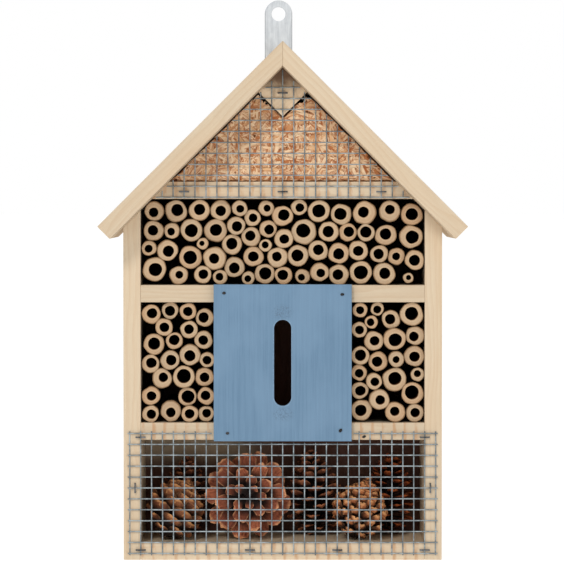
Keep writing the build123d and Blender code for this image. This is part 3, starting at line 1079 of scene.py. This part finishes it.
def caneGrowth(finish, unit):
    tree, flow, given = newGrowth("caneGrowth", {
        "Lobe": 0.2, "Bore Lobe": 0.3, "Off Centre": 0.4, "Saw Tilt": 0.0005,
    })
    tubes = copied(flow, unit, given["Geometry"])
    side = flow.named("side", "FLOAT_VECTOR")
    centre = flow.named("centre", "FLOAT_VECTOR")
    seed, outer, bore, ring, run, step, front, rear = (
        flow.named(name)
        for name in ("caneSeed", "outer", "bore", "ring", "run", "step", "front", "rear")
    )

    def wander(shift, reach):
        # noise around the cane
        return flow.node(
            "TexNoise", {"noise_dimensions": "4D"},
            {"Vector": side, "W": seed * 61.0 + shift, "Scale": reach, "Detail": 1.0},
        )

    def chosen(reach, shift):
        # a number from -0.5 to 0.5 for the whole cane
        place = {"W": seed * reach + shift}
        return flow.node("TexWhiteNoise", {"noise_dimensions": "1D"}, place) - 0.5

    outside = outer * ((wander(0.0, 1.0) - 0.39) * given["Lobe"] + 1.0)
    inside = bore * ((wander(40.0, 0.6) - 0.5) * given["Bore Lobe"] + 1.0)
    inside = flow.maths("MINIMUM", inside, outside * caneLook["widestBore"])
    radius = inside + (outside - inside) * ring
    slip = (outside - inside) * (1 - ring) * given["Off Centre"]
    sideX, sideZ = side.part(0), side.part(2)
    lean = sideX * chosen(5.7, 9) + sideZ * chosen(3.9, 2)
    tilt = lean * given["Saw Tilt"] * (radius / outer)
    rough = (wander(80.0, 2.6) - 0.5) * (caneLook["sawRough"] * mm)
    cut = (tilt + rough + given["Saw Tilt"] * 0.5 + step * mm) * (1 - run)
    y = front + cut + (rear - front) * run
    place = flow.joined(
        centre.part(0) + sideX * radius + chosen(7.1, 0) * slip, y,
        centre.part(2) + sideZ * radius + chosen(9.3, 4) * slip,
    )
    endGrowth(flow, tubes.moved(Position=place).kept("depth", (y - front) / mm), finish)
    return tree


def bambooFinish():
    finish, flow = newFinish("bambooCane")
    look = caneLook
    place = inMillimetres(flow)
    ring, depth, seed = flow.carried("ring"), flow.carried("depth"), flow.carried("caneSeed")
    speckle = flow.node("TexVoronoi", None, {"Vector": place, "Scale": 1.9}, "Distance")
    grain = place.noise(1.6, 3.0, 0.6)
    blotch = place.noise(0.32, 2.0, 0.6)
    saw = inMillimetres(flow, (0, 0.6, 0)).noise((0.25, 1, 5.0), 2.0)
    tint = flow.maths("FRACT", seed * 17.3)
    tintB = flow.maths("FRACT", seed * 41.9)
    rings = flow.maths("PINGPONG", ring * 3.0, 0.5) * 2.0
    base = layered(
        look["tan"],
        (tint.spread(0.45, 1.0) * 0.65, look["orange"]),
        (tintB.spread(0.6, 1.0) * 0.6, look["grey"]),
        (speckle.spread(0.12, 0.3, 1.0, 0.0) * ring.spread(0.1, 0.9, 0.25, 0.75), look["fibre"]),
        (blotch.spread(0.42, 0.72) * 0.35, look["orange"]),
        (saw.spread(0.5, 0.75) * 0.3, look["grey"]),
        (rings.spread(0.6, 1.0) * 0.14, look["fibre"]),
        ((ring + grain * 0.3).spread(0.22, 0.5, 1.0, 0.0) * 0.55, look["pale"]),
        ((ring + grain * 0.2).spread(0.82, 1.04) * 0.85, look["skin"]),
        ((ring - grain * 0.1).spread(-0.06, 0.1, 1.0, 0.0) * 0.5, look["boreWall"]),
    )
    # inside the bore and between the canes it takes the bore wall's or the skin's colour, and
    # painted shade grows dark with depth
    skinSide = ring.spread(0.4, 0.6)
    base = depth.spread(0.7, 2.2).mixed(base, layered(look["boreWall"], (skinSide, look["skin"])))
    dark = (depth - look["darkFrom"]) / (skinSide * -7.0 + 13.0)
    base = layered(base, (dark.clamp() ** 0.6, look["deepShade"]))
    height = grain * 0.4 + saw * 0.4 + speckle * 0.5
    finishSurface(
        flow, base, grain * 0.15 + look["roughness"], height, look["relief"],
        Specular_IOR_Level=0.3,
    )
    return finish


def makeCanes():
    unit = unitCane()
    tree = caneGrowth(bambooFinish(), unit)
    for room, number in {"left": 1, "right": 2, "upper": 3}.items():
        nodes = [f"{room}_wide_canes", f"{room}_narrow_canes"]
        centres, rows = [], []
        for low, high, places in (part for node in nodes for part in looseParts(node)):
            middle = (low + high) / 2
            bore = min(math.hypot(p.x - middle.x, p.z - middle.z) for p in places)
            seed = (len(rows) * 0.61803 + number * 0.271) % 1.0
            centres.append(tuple(middle))
            rows.append(((high.x - low.x) / 2, bore, low.y, high.y, seed))
        points = bpy.data.meshes.new(room + "CanePoints")
        points.from_pydata(centres, [], [])
        setAttribute(points, "centre", "FLOAT_VECTOR", centres)
        for name, values in zip(("outer", "bore", "front", "rear", "caneSeed"), zip(*rows)):
            setAttribute(points, name, "FLOAT", values)
        mesh = grown(room + "Canes", tree, points, {
            "Lobe": caneLook["lobe"], "Bore Lobe": caneLook["boreLobe"],
            "Off Centre": caneLook["offCentre"], "Saw Tilt": caneLook["sawTilt"] * mm,
        })
        turnOut(mesh)
        finished(room + "Canes", mesh, nodes, roundTo=50)
    bpy.data.objects.remove(unit)


makeCanes()
print("canes made")


shavingLook = {
    "layers": (-19.4, -18.6, -17.8),     # mm, where each layer lies from front to back
    "perLayer": (430, 520, 480),
    "length": (0.007, 0.020),
    "width": (0.0008, 0.0031),
    "thick": 0.00026,
    "roofGap": 1.5,         # mm between the roof and the fill
    "roofRim": 0.5,         # mm between the roof and the strips' tips
    "meshGap": 0.1,
    "fillGap": 0.8,         # mm under the batten for the fill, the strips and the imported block
    "battenGap": 0.6,
    "packGap": 1.0,
    "battenHalf": 16.5,     # mm, half the pocket that the batten leaves in the fill
    "battenReach": 14.2,    # mm beside the middle in which strips stay under the batten
    "packFront": -17.9,
    "packEase": 0.6,
    "packRelief": 0.5,
    "soft": 1.3,            # mm before a wall in which shavings are squeezed flat
    "softReach": 11.0,
    "curl": 1.7,            # radians that a shaving may bend over its length
    "leastCurl": 0.15,
    "twist": 1.3,
    "firstSeed": 5,
    "cream": (248, 219, 182),
    "tan": (222, 168, 114),
    # brown serves the strips' own streaks and painted shade on deeper strips; the last colour is
    # painted shade deep in the fill
    "brown": (176, 98, 50),
    "deepShade": (104, 52, 27),
}

shavingLow, shavingHigh = corners("wood_shavings")


def slabFaces(rows, columns):
    # the faces of a closed slab: a grid of points, then the same grid under it
    count = columns + 1
    under = (rows + 1) * count
    faces, rims = [], []
    for i in range(rows):
        for j in range(columns):
            a, b = i * count + j, i * count + j + 1
            c, d = b + count, a + count
            faces += [(a, b, c, d), (a + under, d + under, c + under, b + under)]
        rims += [(i * count, (i + 1) * count, 1)]
        rims += [(i * count + columns, (i + 1) * count + columns, -1)]
    for j in range(columns):
        rims += [(j, j + 1, -1), (rows * count + j, rows * count + j + 1, 1)]
    return faces + [(a, b, b + under, a + under)[::turn] for a, b, turn in rims]


def unitStrip():
    # a closed thin strip, 1 long, 1 wide and 1 thick
    length, width = 7, 2
    points = []
    for layer in (0.5, -0.5):
        for i in range(length + 1):
            share = i / length - 0.5
            ease = 1 - 0.5 * abs(share * 2) ** 5
            points += [(share, layer, (j / width - 0.5) * ease) for j in range(width + 1)]
    mesh = bpy.data.meshes.new("unitStrip")
    mesh.from_pydata(points, [], slabFaces(length, width))
    setAttribute(mesh, "local", "FLOAT_VECTOR", points)
    return placed("unitStrip", mesh)


def fillOutline():
    # the part of the gable that the shavings fill, as x and z
    top = ridgeInside - shavingLook["roofGap"] * mm
    half = top - shavingLow.z
    pocket = shavingLook["battenHalf"] * mm
    return [
        (-half, shavingLow.z), (half, shavingLow.z), (pocket, top - pocket),
        (0.0, battenLow.z - shavingLook["fillGap"] * mm), (-pocket, top - pocket),
    ]


def shavingGrowth(finish, unit):
    tree, flow, given = newGrowth("shavingGrowth", {
        "Density": 50000.0, "Shortest": 0.008, "Longest": 0.02, "Narrowest": 0.002,
        "Widest": 0.006, "Thickness": 0.0003, "Curl": 2.0, "Twist": 1.0, "Front": 0.0,
        "Floor": 0.0, "Ridge": 0.0, "Batten": 0.0, "Seed": 1,
    })
    points = flow.node(
        "GeometryNodeDistributePointsOnFaces", {"distribute_method": "RANDOM"},
        {"Mesh": given["Geometry"], "Density": given["Density"], "Seed": given["Seed"]}, "Points",
    )
    points = points.kept("centre", flow.node("GeometryNodeInputPosition"), "FLOAT_VECTOR")
    for name, low, high, shift in (
        ("long", given["Shortest"], given["Longest"], 11),
        ("wide", given["Narrowest"], given["Widest"], 12),
        ("curl", given["Curl"] * -1.0, given["Curl"], 13),
        ("twist", given["Twist"] * -1.0, given["Twist"], 14),
        ("tone", 0.0, 1.0, 15),
    ):
        points = points.kept(name, chance(given, low, high, shift))
    turn = chance(given, (-0.75, -math.pi, -0.45), (0.75, math.pi, 0.45), 16, "FLOAT_VECTOR")
    strips = copied(flow, unit, points.kept("turn", turn, "FLOAT_VECTOR"))

    def choice(value, limit, above, below):
        small = flow.node(
            "FunctionNodeCompare", {"operation": "LESS_THAN"},
            {0: flow.maths("ABSOLUTE", value), 1: limit},
        )
        return flow.node(
            "GeometryNodeSwitch", {"input_type": "FLOAT"}, {0: small, 1: above, 2: below}
        )

    local = flow.named("local", "FLOAT_VECTOR")
    share, through, across = local.part(0), local.part(1), local.part(2)
    curl, long, wide = flow.named("curl"), flow.named("long"), flow.named("wide")
    # a strip bends along an arc, and its cross-section turns as it goes
    curl = choice(curl, shavingLook["leastCurl"], curl, shavingLook["leastCurl"])
    angle, spin, arc = share * curl, share * flow.named("twist"), long / curl
    inner = arc - through * given["Thickness"]
    bent = flow.joined(
        flow.maths("SINE", angle) * inner,
        arc - flow.maths("COSINE", angle) * inner + flow.maths("SINE", spin) * across * wide,
        flow.maths("COSINE", spin) * across * wide,
    )
    turned = flow.node(
        "VectorRotate", {"rotation_type": "EULER_XYZ"},
        {"Vector": bent, "Rotation": flow.named("turn", "FLOAT_VECTOR")},
    )
    whole = flow.vectors("ADD", turned, flow.named("centre", "FLOAT_VECTOR"))
    side = given["Ridge"] - given["Floor"]
    x = flow.maths("MINIMUM", flow.maths("MAXIMUM", whole.part(0), side * -1.0), side)

    def pressed(value, limit, way):
        # squeezes what would pass a limit into the last bit before it
        soft, reach = shavingLook["soft"] * mm, shavingLook["softReach"] * mm
        over = flow.maths("MAXIMUM", (limit + way * soft - value) * way, 0.0)
        return value + over * (1 - soft / reach) * way

    # nothing pokes through the mesh, the beam, the roof or the batten
    away = flow.maths("ABSOLUTE", x)
    z = pressed(whole.part(2), given["Floor"], 1)
    z = flow.maths("MAXIMUM", pressed(z, given["Ridge"] - away, -1), given["Floor"])
    y = flow.maths("MAXIMUM", pressed(whole.part(1), given["Front"], 1), given["Front"])
    z = choice(x, shavingLook["battenReach"] * mm, z, pressed(z, given["Batten"] + away, -1))
    strips = strips.moved(Position=flow.joined(x, y, z))
    endGrowth(flow, strips.kept("depth", (y - given["Front"]) / mm), finish)
    return tree


def shavingFinish():
    finish, flow = newFinish("pineShaving")
    look = shavingLook
    local = flow.carried("local", "Vector")
    long, wide, tone, depth = (
        flow.carried(name) for name in ("long", "wide", "tone", "depth")
    )
    place = flow.joined(local.part(0) * long, tone * 3.0, local.part(2) * wide)
    streaks = place.noise((110, 60, 1900), 3.0, 0.6)
    bands = place.noise((60, 60, 500), 2.0)
    # painted shade: one edge of a strip is always darker, where the next strip's shadow would
    # fall, so it stands out from the next one
    rim = (local.part(2) + bands * 0.3).spread(0.28, 0.58)
    base = layered(
        look["cream"],
        (tone.spread(0.35, 1.0), look["tan"]),
        (streaks.spread(0.42, 0.7) * 0.6, look["tan"]),
        (bands.spread(0.5, 0.7) * 0.6, look["brown"]),
        (tone.spread(0.80, 0.95) * 0.75, look["brown"]),
        (rim * 0.75, look["brown"]),
        # painted shade: strips that lie deeper behind the front grow browner and darker
        (depth.spread(0.9, 2.4) * 0.8, look["brown"]),
        (depth.spread(2.2, 3.8) * 0.8, look["deepShade"]),
    )
    finishSurface(flow, base, streaks * 0.15 + 0.6, streaks, 0.06, Specular_IOR_Level=0.3)
    return finish


def packFinish():
    finish, flow = newFinish("packedShaving")
    place = flow.vectors("MULTIPLY", inMillimetres(flow), (0.5, 0.5, 1.0))
    chips = place.noise(0.6, 4.0, 0.7)
    # painted shade: the packed block is dark brown with tan chips, as the shavings deep in the
    # gable lie in shade
    base = layered(shavingLook["deepShade"], (chips.spread(0.35, 0.7), shavingLook["tan"]))
    finishSurface(flow, base, chips * 0.2 + 0.7, chips, shavingLook["packRelief"])
    return finish


def makeShavings():
    look = shavingLook
    finish = shavingFinish()
    unit = unitStrip()
    tree = shavingGrowth(finish, unit)
    outline = fillOutline()
    area = sum(
        a[0] * b[1] - b[0] * a[1] for a, b in zip(outline, outline[1:] + outline[:1])
    ) / 2
    layers = []
    for index, (place, count) in enumerate(zip(look["layers"], look["perLayer"])):
        sheet = bpy.data.meshes.new("shavingSheet")
        sheet.from_pydata([(x, place * mm, z) for x, z in outline], [], [range(len(outline))])
        layers.append(grown("shavingLayer", tree, sheet, {
            "Density": count / abs(area), "Seed": look["firstSeed"] + index,
            "Shortest": look["length"][0], "Longest": look["length"][1],
            "Narrowest": look["width"][0], "Widest": look["width"][1],
            "Thickness": look["thick"], "Curl": look["curl"], "Twist": look["twist"],
            "Front": shavingLow.y + look["meshGap"] * mm, "Floor": shavingLow.z,
            "Ridge": ridgeInside - look["roofRim"] * mm,
            "Batten": battenLow.z - look["battenGap"] * mm,
        }))
    strips = joinMeshes("shavingStrips", layers)
    finished("shavingStrips", strips, ["wood_shavings"], finish)
    # a packed block behind the strips, its notch just under the batten
    outline[3] = (0.0, battenLow.z - look["packGap"] * mm)
    packed = boardMesh(
        "shavingPack", outline, look["packFront"] * mm, shavingHigh.y, look["packEase"] * mm
    )
    finished("shavingPack", packed, ["wood_shavings"], packFinish())
    bpy.data.objects.remove(unit)


makeShavings()
print("shavings made")


coneLook = {
    # node: width, length (mm), tip direction, scale count, openness (0 closed, 1 wide),
    # scale length, scale width and thickness as shares, how far scales warp (mm), tones, seed
    "front_left_cone": (29, 32, (0.45, 0.2, 0.85), 66, 0.34, 0.62, 0.62, 0.42, 2.2, "tan", 3),
    "front_middle_cone": (51, 42, (0.05, -1.0, 0.1), 38, 1.0, 0.9, 0.42, 0.5, 5.2, "red", 5),
    "front_right_cone": (30, 35, (0.25, -0.25, 0.95), 120, 0.12, 0.46, 0.32, 1.3, 1.3, "knob", 8),
    "rear_left_cone": (27, 47, (0.12, 0.03, 1.0), 80, 0.75, 0.66, 0.36, 0.7, 1.6, "dark", 13),
    "rear_middle_cone": (31, 50, (-0.1, 0.1, 1.0), 80, 0.85, 0.66, 0.4, 0.7, 1.6, "dark", 21),
    "rear_right_cone": (30, 48, (0.1, 0.0, 1.0), 72, 0.9, 0.7, 0.36, 0.6, 1.6, "rust", 34),
}

coneTones = {
    # scale body, outer shield, rim (painted highlight on the edges, own colour of the knob),
    # painted crevice shade, and how much painted shade darkens the sides of a scale
    "tan": ((96, 50, 30), (158, 98, 60), (214, 152, 96), (22, 11, 7), 0.7),
    "red": ((104, 50, 34), (192, 110, 76), (255, 186, 134), (14, 8, 6), 0.1),
    "knob": ((108, 56, 31), (190, 114, 66), (240, 176, 118), (24, 11, 6), 0.85),
    "dark": ((104, 57, 39), (152, 92, 62), (194, 124, 84), (16, 9, 7), 0.3),
    "rust": ((98, 43, 22), (168, 82, 40), (206, 110, 56), (18, 9, 6), 0.2),
}

# where along a scale its rows of points lie, and its width there
scaleRows = [
    (0.0, 0.3), (0.25, 0.55), (0.5, 0.85), (0.68, 1.0),
    (0.82, 0.98), (0.92, 0.8), (0.98, 0.5), (1.0, 0.16),
]
knobPlace = 0.84


def unitScale():
    # a woody scale: a thin stalk that widens to a thick rounded shield with a knob
    columns = 4
    top, bottom = [], []
    for v, w in scaleRows:
        for j in range(columns + 1):
            u = j / columns * 2 - 1
            thick = 0.05 + 0.10 * max(0.0, v - 0.45) * (1 - u * u) * 2
            if v > 0.97:
                thick *= 0.45
            knob = 0.13 * math.exp(-((u / 0.28) ** 2) - (((v - knobPlace) / 0.09) ** 2))
            lift = 0.06 * math.sin(v * 3.0) + 0.10 * u * u * v
            top.append((u * w / 2, v, lift + thick * 0.35))
            bottom.append((u * w / 2, v, lift - thick - knob))
    mesh = bpy.data.meshes.new("unitScale")
    mesh.from_pydata(top + bottom, [], slabFaces(len(scaleRows) - 1, columns))
    onScale = [(x, y, 1.0) for x, y, _ in top] + [(x, y, 0.0) for x, y, _ in bottom]
    setAttribute(mesh, "onScale", "FLOAT_VECTOR", onScale)
    return placed("unitScale", mesh)


def coneGrowth(unit):
    tree, flow, given = newGrowth("coneGrowth", {
        "Length": 0.04, "Radius": 0.015, "Openness": 0.5, "Scale Length": 0.5,
        "Scale Width": 0.4, "Scale Thickness": 1.0, "Warp": 0.0013, "Scale Count": 80,
        "Seed": 1, "Finish": None,
    })
    points = flow.node(
        "GeometryNodeMeshLine", None, {"Count": given["Scale Count"], "Start Location": (0, 0, 0)}
    )
    number = flow.node("GeometryNodeInputIndex")
    share = (number + 0.5) / given["Scale Count"]
    goldenTurn = math.radians(137.508)
    angle = number * goldenTurn + chance(given, -0.10, 0.10, 1)
    # slender axis inside the egg, and scales that follow its outline
    belly = flow.maths("SINE", (share ** 0.72) * math.pi * 0.93 + 0.16)
    closed = 1 - given["Openness"]
    axis = given["Radius"] * belly * (closed * 0.42 + 0.18)
    points = points.moved(Position=flow.joined(
        flow.maths("COSINE", angle) * axis, flow.maths("SINE", angle) * axis,
        share * given["Length"] * 0.86,
    ))
    lift = share * (closed * 0.75 + 0.95) + closed * 0.62 - given["Openness"] * 0.28
    lift = lift + chance(given, -0.12, 0.12, 2)
    turn = flow.joined(lift, chance(given, -0.12, 0.12, 3), angle - math.pi / 2)
    long = given["Radius"] * (given["Scale Length"] * (belly * 0.75 + 0.32)) * 1.28
    wide = given["Radius"] * given["Scale Width"] * (belly * 0.7 + 0.4)
    wide = wide * chance(given, 0.9, 1.12, 4) * 1.25
    scales = copied(
        flow, unit, points.kept("tone", chance(given, 0.0, 1.0, 5)), Rotation=turn,
        Scale=flow.joined(wide, long, wide * given["Scale Thickness"]),
    )
    wear = flow.node(
        "TexNoise", None,
        {"Vector": flow.node("GeometryNodeInputPosition"), "Scale": 260.0, "Detail": 2.0}, "Color",
    )
    lean = flow.joined(given["Warp"], given["Warp"], given["Warp"])
    push = flow.vectors("MULTIPLY", flow.vectors("SUBTRACT", wear, (0.5, 0.5, 0.5)), lean)
    core = flow.node(
        "GeometryNodeMeshUVSphere", None, {"Segments": 16, "Rings": 12, "Radius": 1.0}, "Mesh"
    )
    coreWide, coreHalf = given["Radius"] * (closed * 0.36 + 0.2), given["Length"] * 0.43
    core = flow.node("GeometryNodeTransform", None, {
        "Geometry": core, "Translation": flow.joined(0.0, 0.0, coreHalf),
        "Scale": flow.joined(coreWide, coreWide, coreHalf),
    })
    both = flow.node("GeometryNodeJoinGeometry", None, {0: scales.moved(Offset=push)})
    flow.tree.links.new(core.socket, both.socket.node.inputs[0])
    endGrowth(flow, both, given["Finish"])
    return tree


def coneFinish(name):
    body, shield, rim, creviceShade, sideDark = coneTones[name]
    finish, flow = newFinish(name + "Cone")
    onScale, tone = flow.carried("onScale", "Vector"), flow.carried("tone")
    along, under = onScale.part(1), 1 - onScale.part(2)
    across = flow.maths("ABSOLUTE", onScale.part(0)) * 2.0
    place = inMillimetres(flow)
    grain = place.noise(1.7, 3.0, 0.6)
    streaks = onScale.noise((22, 3.0, 1), 3.0, 0.6)
    blots = place.noise(0.55, 3.0, 0.65)
    edge = flow.maths("MAXIMUM", along.spread(0.9, 1.0), across.spread(0.78, 0.98) * 0.7)
    knob = flow.vectors("SUBTRACT", onScale, (0, knobPlace, 0))
    knobAway = flow.maths("SQRT", knob.part(0) * knob.part(0) * 5.0 + knob.part(1) * knob.part(1))
    base = layered(
        body,
        ((along + grain * 0.2).spread(0.52, 0.82), shield),
        (tone.spread(0.2, 1.0) * 0.7, body),
        (streaks.spread(0.42, 0.68) * 0.7, body),
        (blots.spread(0.5, 0.7) * 0.55, body),
        # painted highlight on the scale's tip and side edges
        (edge * grain.spread(0.3, 0.6, 0.6, 1.0), rim),
        # painted shade on the sides of a scale, where its neighbours overlap it
        ((across + grain * 0.3).spread(0.62, 1.05) * sideDark, creviceShade),
        (knobAway.spread(0.04, 0.13, 1.0, 0.0) * under * 0.6, rim),
        # painted shade towards the base of each scale, down in the crevices
        (along.spread(0.4, 0.84, 1.0, 0.0) * 0.95, creviceShade),
    )
    height = grain * 0.7 + streaks * 0.8 + blots * 0.5
    finishSurface(flow, base, grain * 0.2 + 0.55, height, 0.45, Specular_IOR_Level=0.3)
    return finish


def makeCones():
    unit = unitScale()
    tree = coneGrowth(unit)
    finishes = {name: coneFinish(name) for name in coneTones}
    for node, plan in coneLook.items():
        width, length, tip, count, openness, long, wide, thick, warp, tone, seed = plan
        start = bpy.data.meshes.new("coneStart")
        start.from_pydata([(0, 0, 0)], [], [])
        mesh = grown(node + "Scales", tree, start, {
            "Length": length * mm, "Radius": width * mm / 2, "Openness": openness,
            "Scale Length": long, "Scale Width": wide, "Scale Thickness": thick,
            "Scale Count": count, "Seed": seed, "Warp": warp * mm,
            "Finish": finishes[tone],
        })
        mesh.transform(Vector(tip).to_track_quat("Z", "Y").to_matrix().to_4x4())
        # the cone fills its place in the room exactly
        low, high = corners(node)
        least, most = span([point.co for point in mesh.vertices])
        for point in mesh.vertices:
            point.co = [
                low[i] + (point.co[i] - least[i]) / (most[i] - least[i]) * (high[i] - low[i])
                for i in range(3)
            ]
        turnOut(mesh)
        finished(node + "Scales", mesh, [node], roundTo=60)
    bpy.data.objects.remove(unit)


makeCones()
print("cones made")


viewPlan = {
    "distance": 1650.0,    # mm in front of the boards
    "height": 209.0,
    "across": -0.4,
    "aim": 161.8,
    "widthSeen": 327.1,
    "sensor": 36.0,
    "farthest": 120.0,     # metres
    "floorGap": 0.0001,
    "floorGlow": 0.76,
}

lightPlan = {
    "skySeen": 1.0,        # how bright the room behind the house looks
    "sky": 0.52,           # how much light it gives
    "tint": (1.0, 0.97, 0.93),
    "aim": (0, 0, 0.16),
    # name: place, size, power
    "lamps": {
        "softKey": ((-0.55, -1.5, 1.25), 0.4, 12.5),
        "softFill": ((1.2, -1.5, 0.5), 1.3, 3.0),
    },
}


def aimed(thing, place, aim):
    thing.location = place
    thing.rotation_euler = (Vector(aim) - Vector(place)).to_track_quat("-Z", "Y").to_euler()


def setCamera():
    plan = viewPlan
    data = bpy.data.cameras.new("camera")
    data.sensor_width = plan["sensor"]
    data.lens = plan["sensor"] * plan["distance"] / plan["widthSeen"]
    data.clip_end = plan["farthest"]
    front = frameFront / mm
    place = Vector((plan["across"], front - plan["distance"], plan["height"])) * mm
    scene.camera = placed("camera", data)
    aimed(scene.camera, place, Vector((plan["across"], front, plan["aim"])) * mm)


def setFloor():
    shape = bmesh.new()
    bmesh.ops.create_grid(shape, x_segments=1, y_segments=1, size=40.0)
    floor = placed("floor", drawnMesh("floor", shape))
    floor.location = (0, 0, cadBox[0][2] - viewPlan["floorGap"])
    finish, flow = newFinish("paleFloor")
    finishSurface(
        flow, (0.5, 0.5, 0.5, 1), 0.9, Emission_Color=(1, 1, 1, 1),
        Emission_Strength=viewPlan["floorGlow"],
    )
    floor.data.materials.append(finish)


def setLight():
    world = bpy.data.worlds.new("paleRoom")
    world.use_nodes = True
    world.node_tree.nodes.clear()
    flow = Flow(world.node_tree)
    seen = flow.node("LightPath", output="Is Camera Ray")
    strength = seen * (lightPlan["skySeen"] - lightPlan["sky"]) + lightPlan["sky"]
    glow = flow.node("Background", None, {"Color": (1, 1, 1, 1), "Strength": strength})
    flow.node("OutputWorld", None, {"Surface": glow})
    scene.world = world
    for name, (place, size, power) in lightPlan["lamps"].items():
        data = bpy.data.lights.new(name, "AREA")
        data.shape = "DISK"
        data.size = size
        data.energy = power
        data.color = lightPlan["tint"]
        aimed(placed(name, data), place, lightPlan["aim"])
    scene.view_settings.view_transform = "Standard"


setCamera()
setFloor()
setLight()
print("camera and light set")
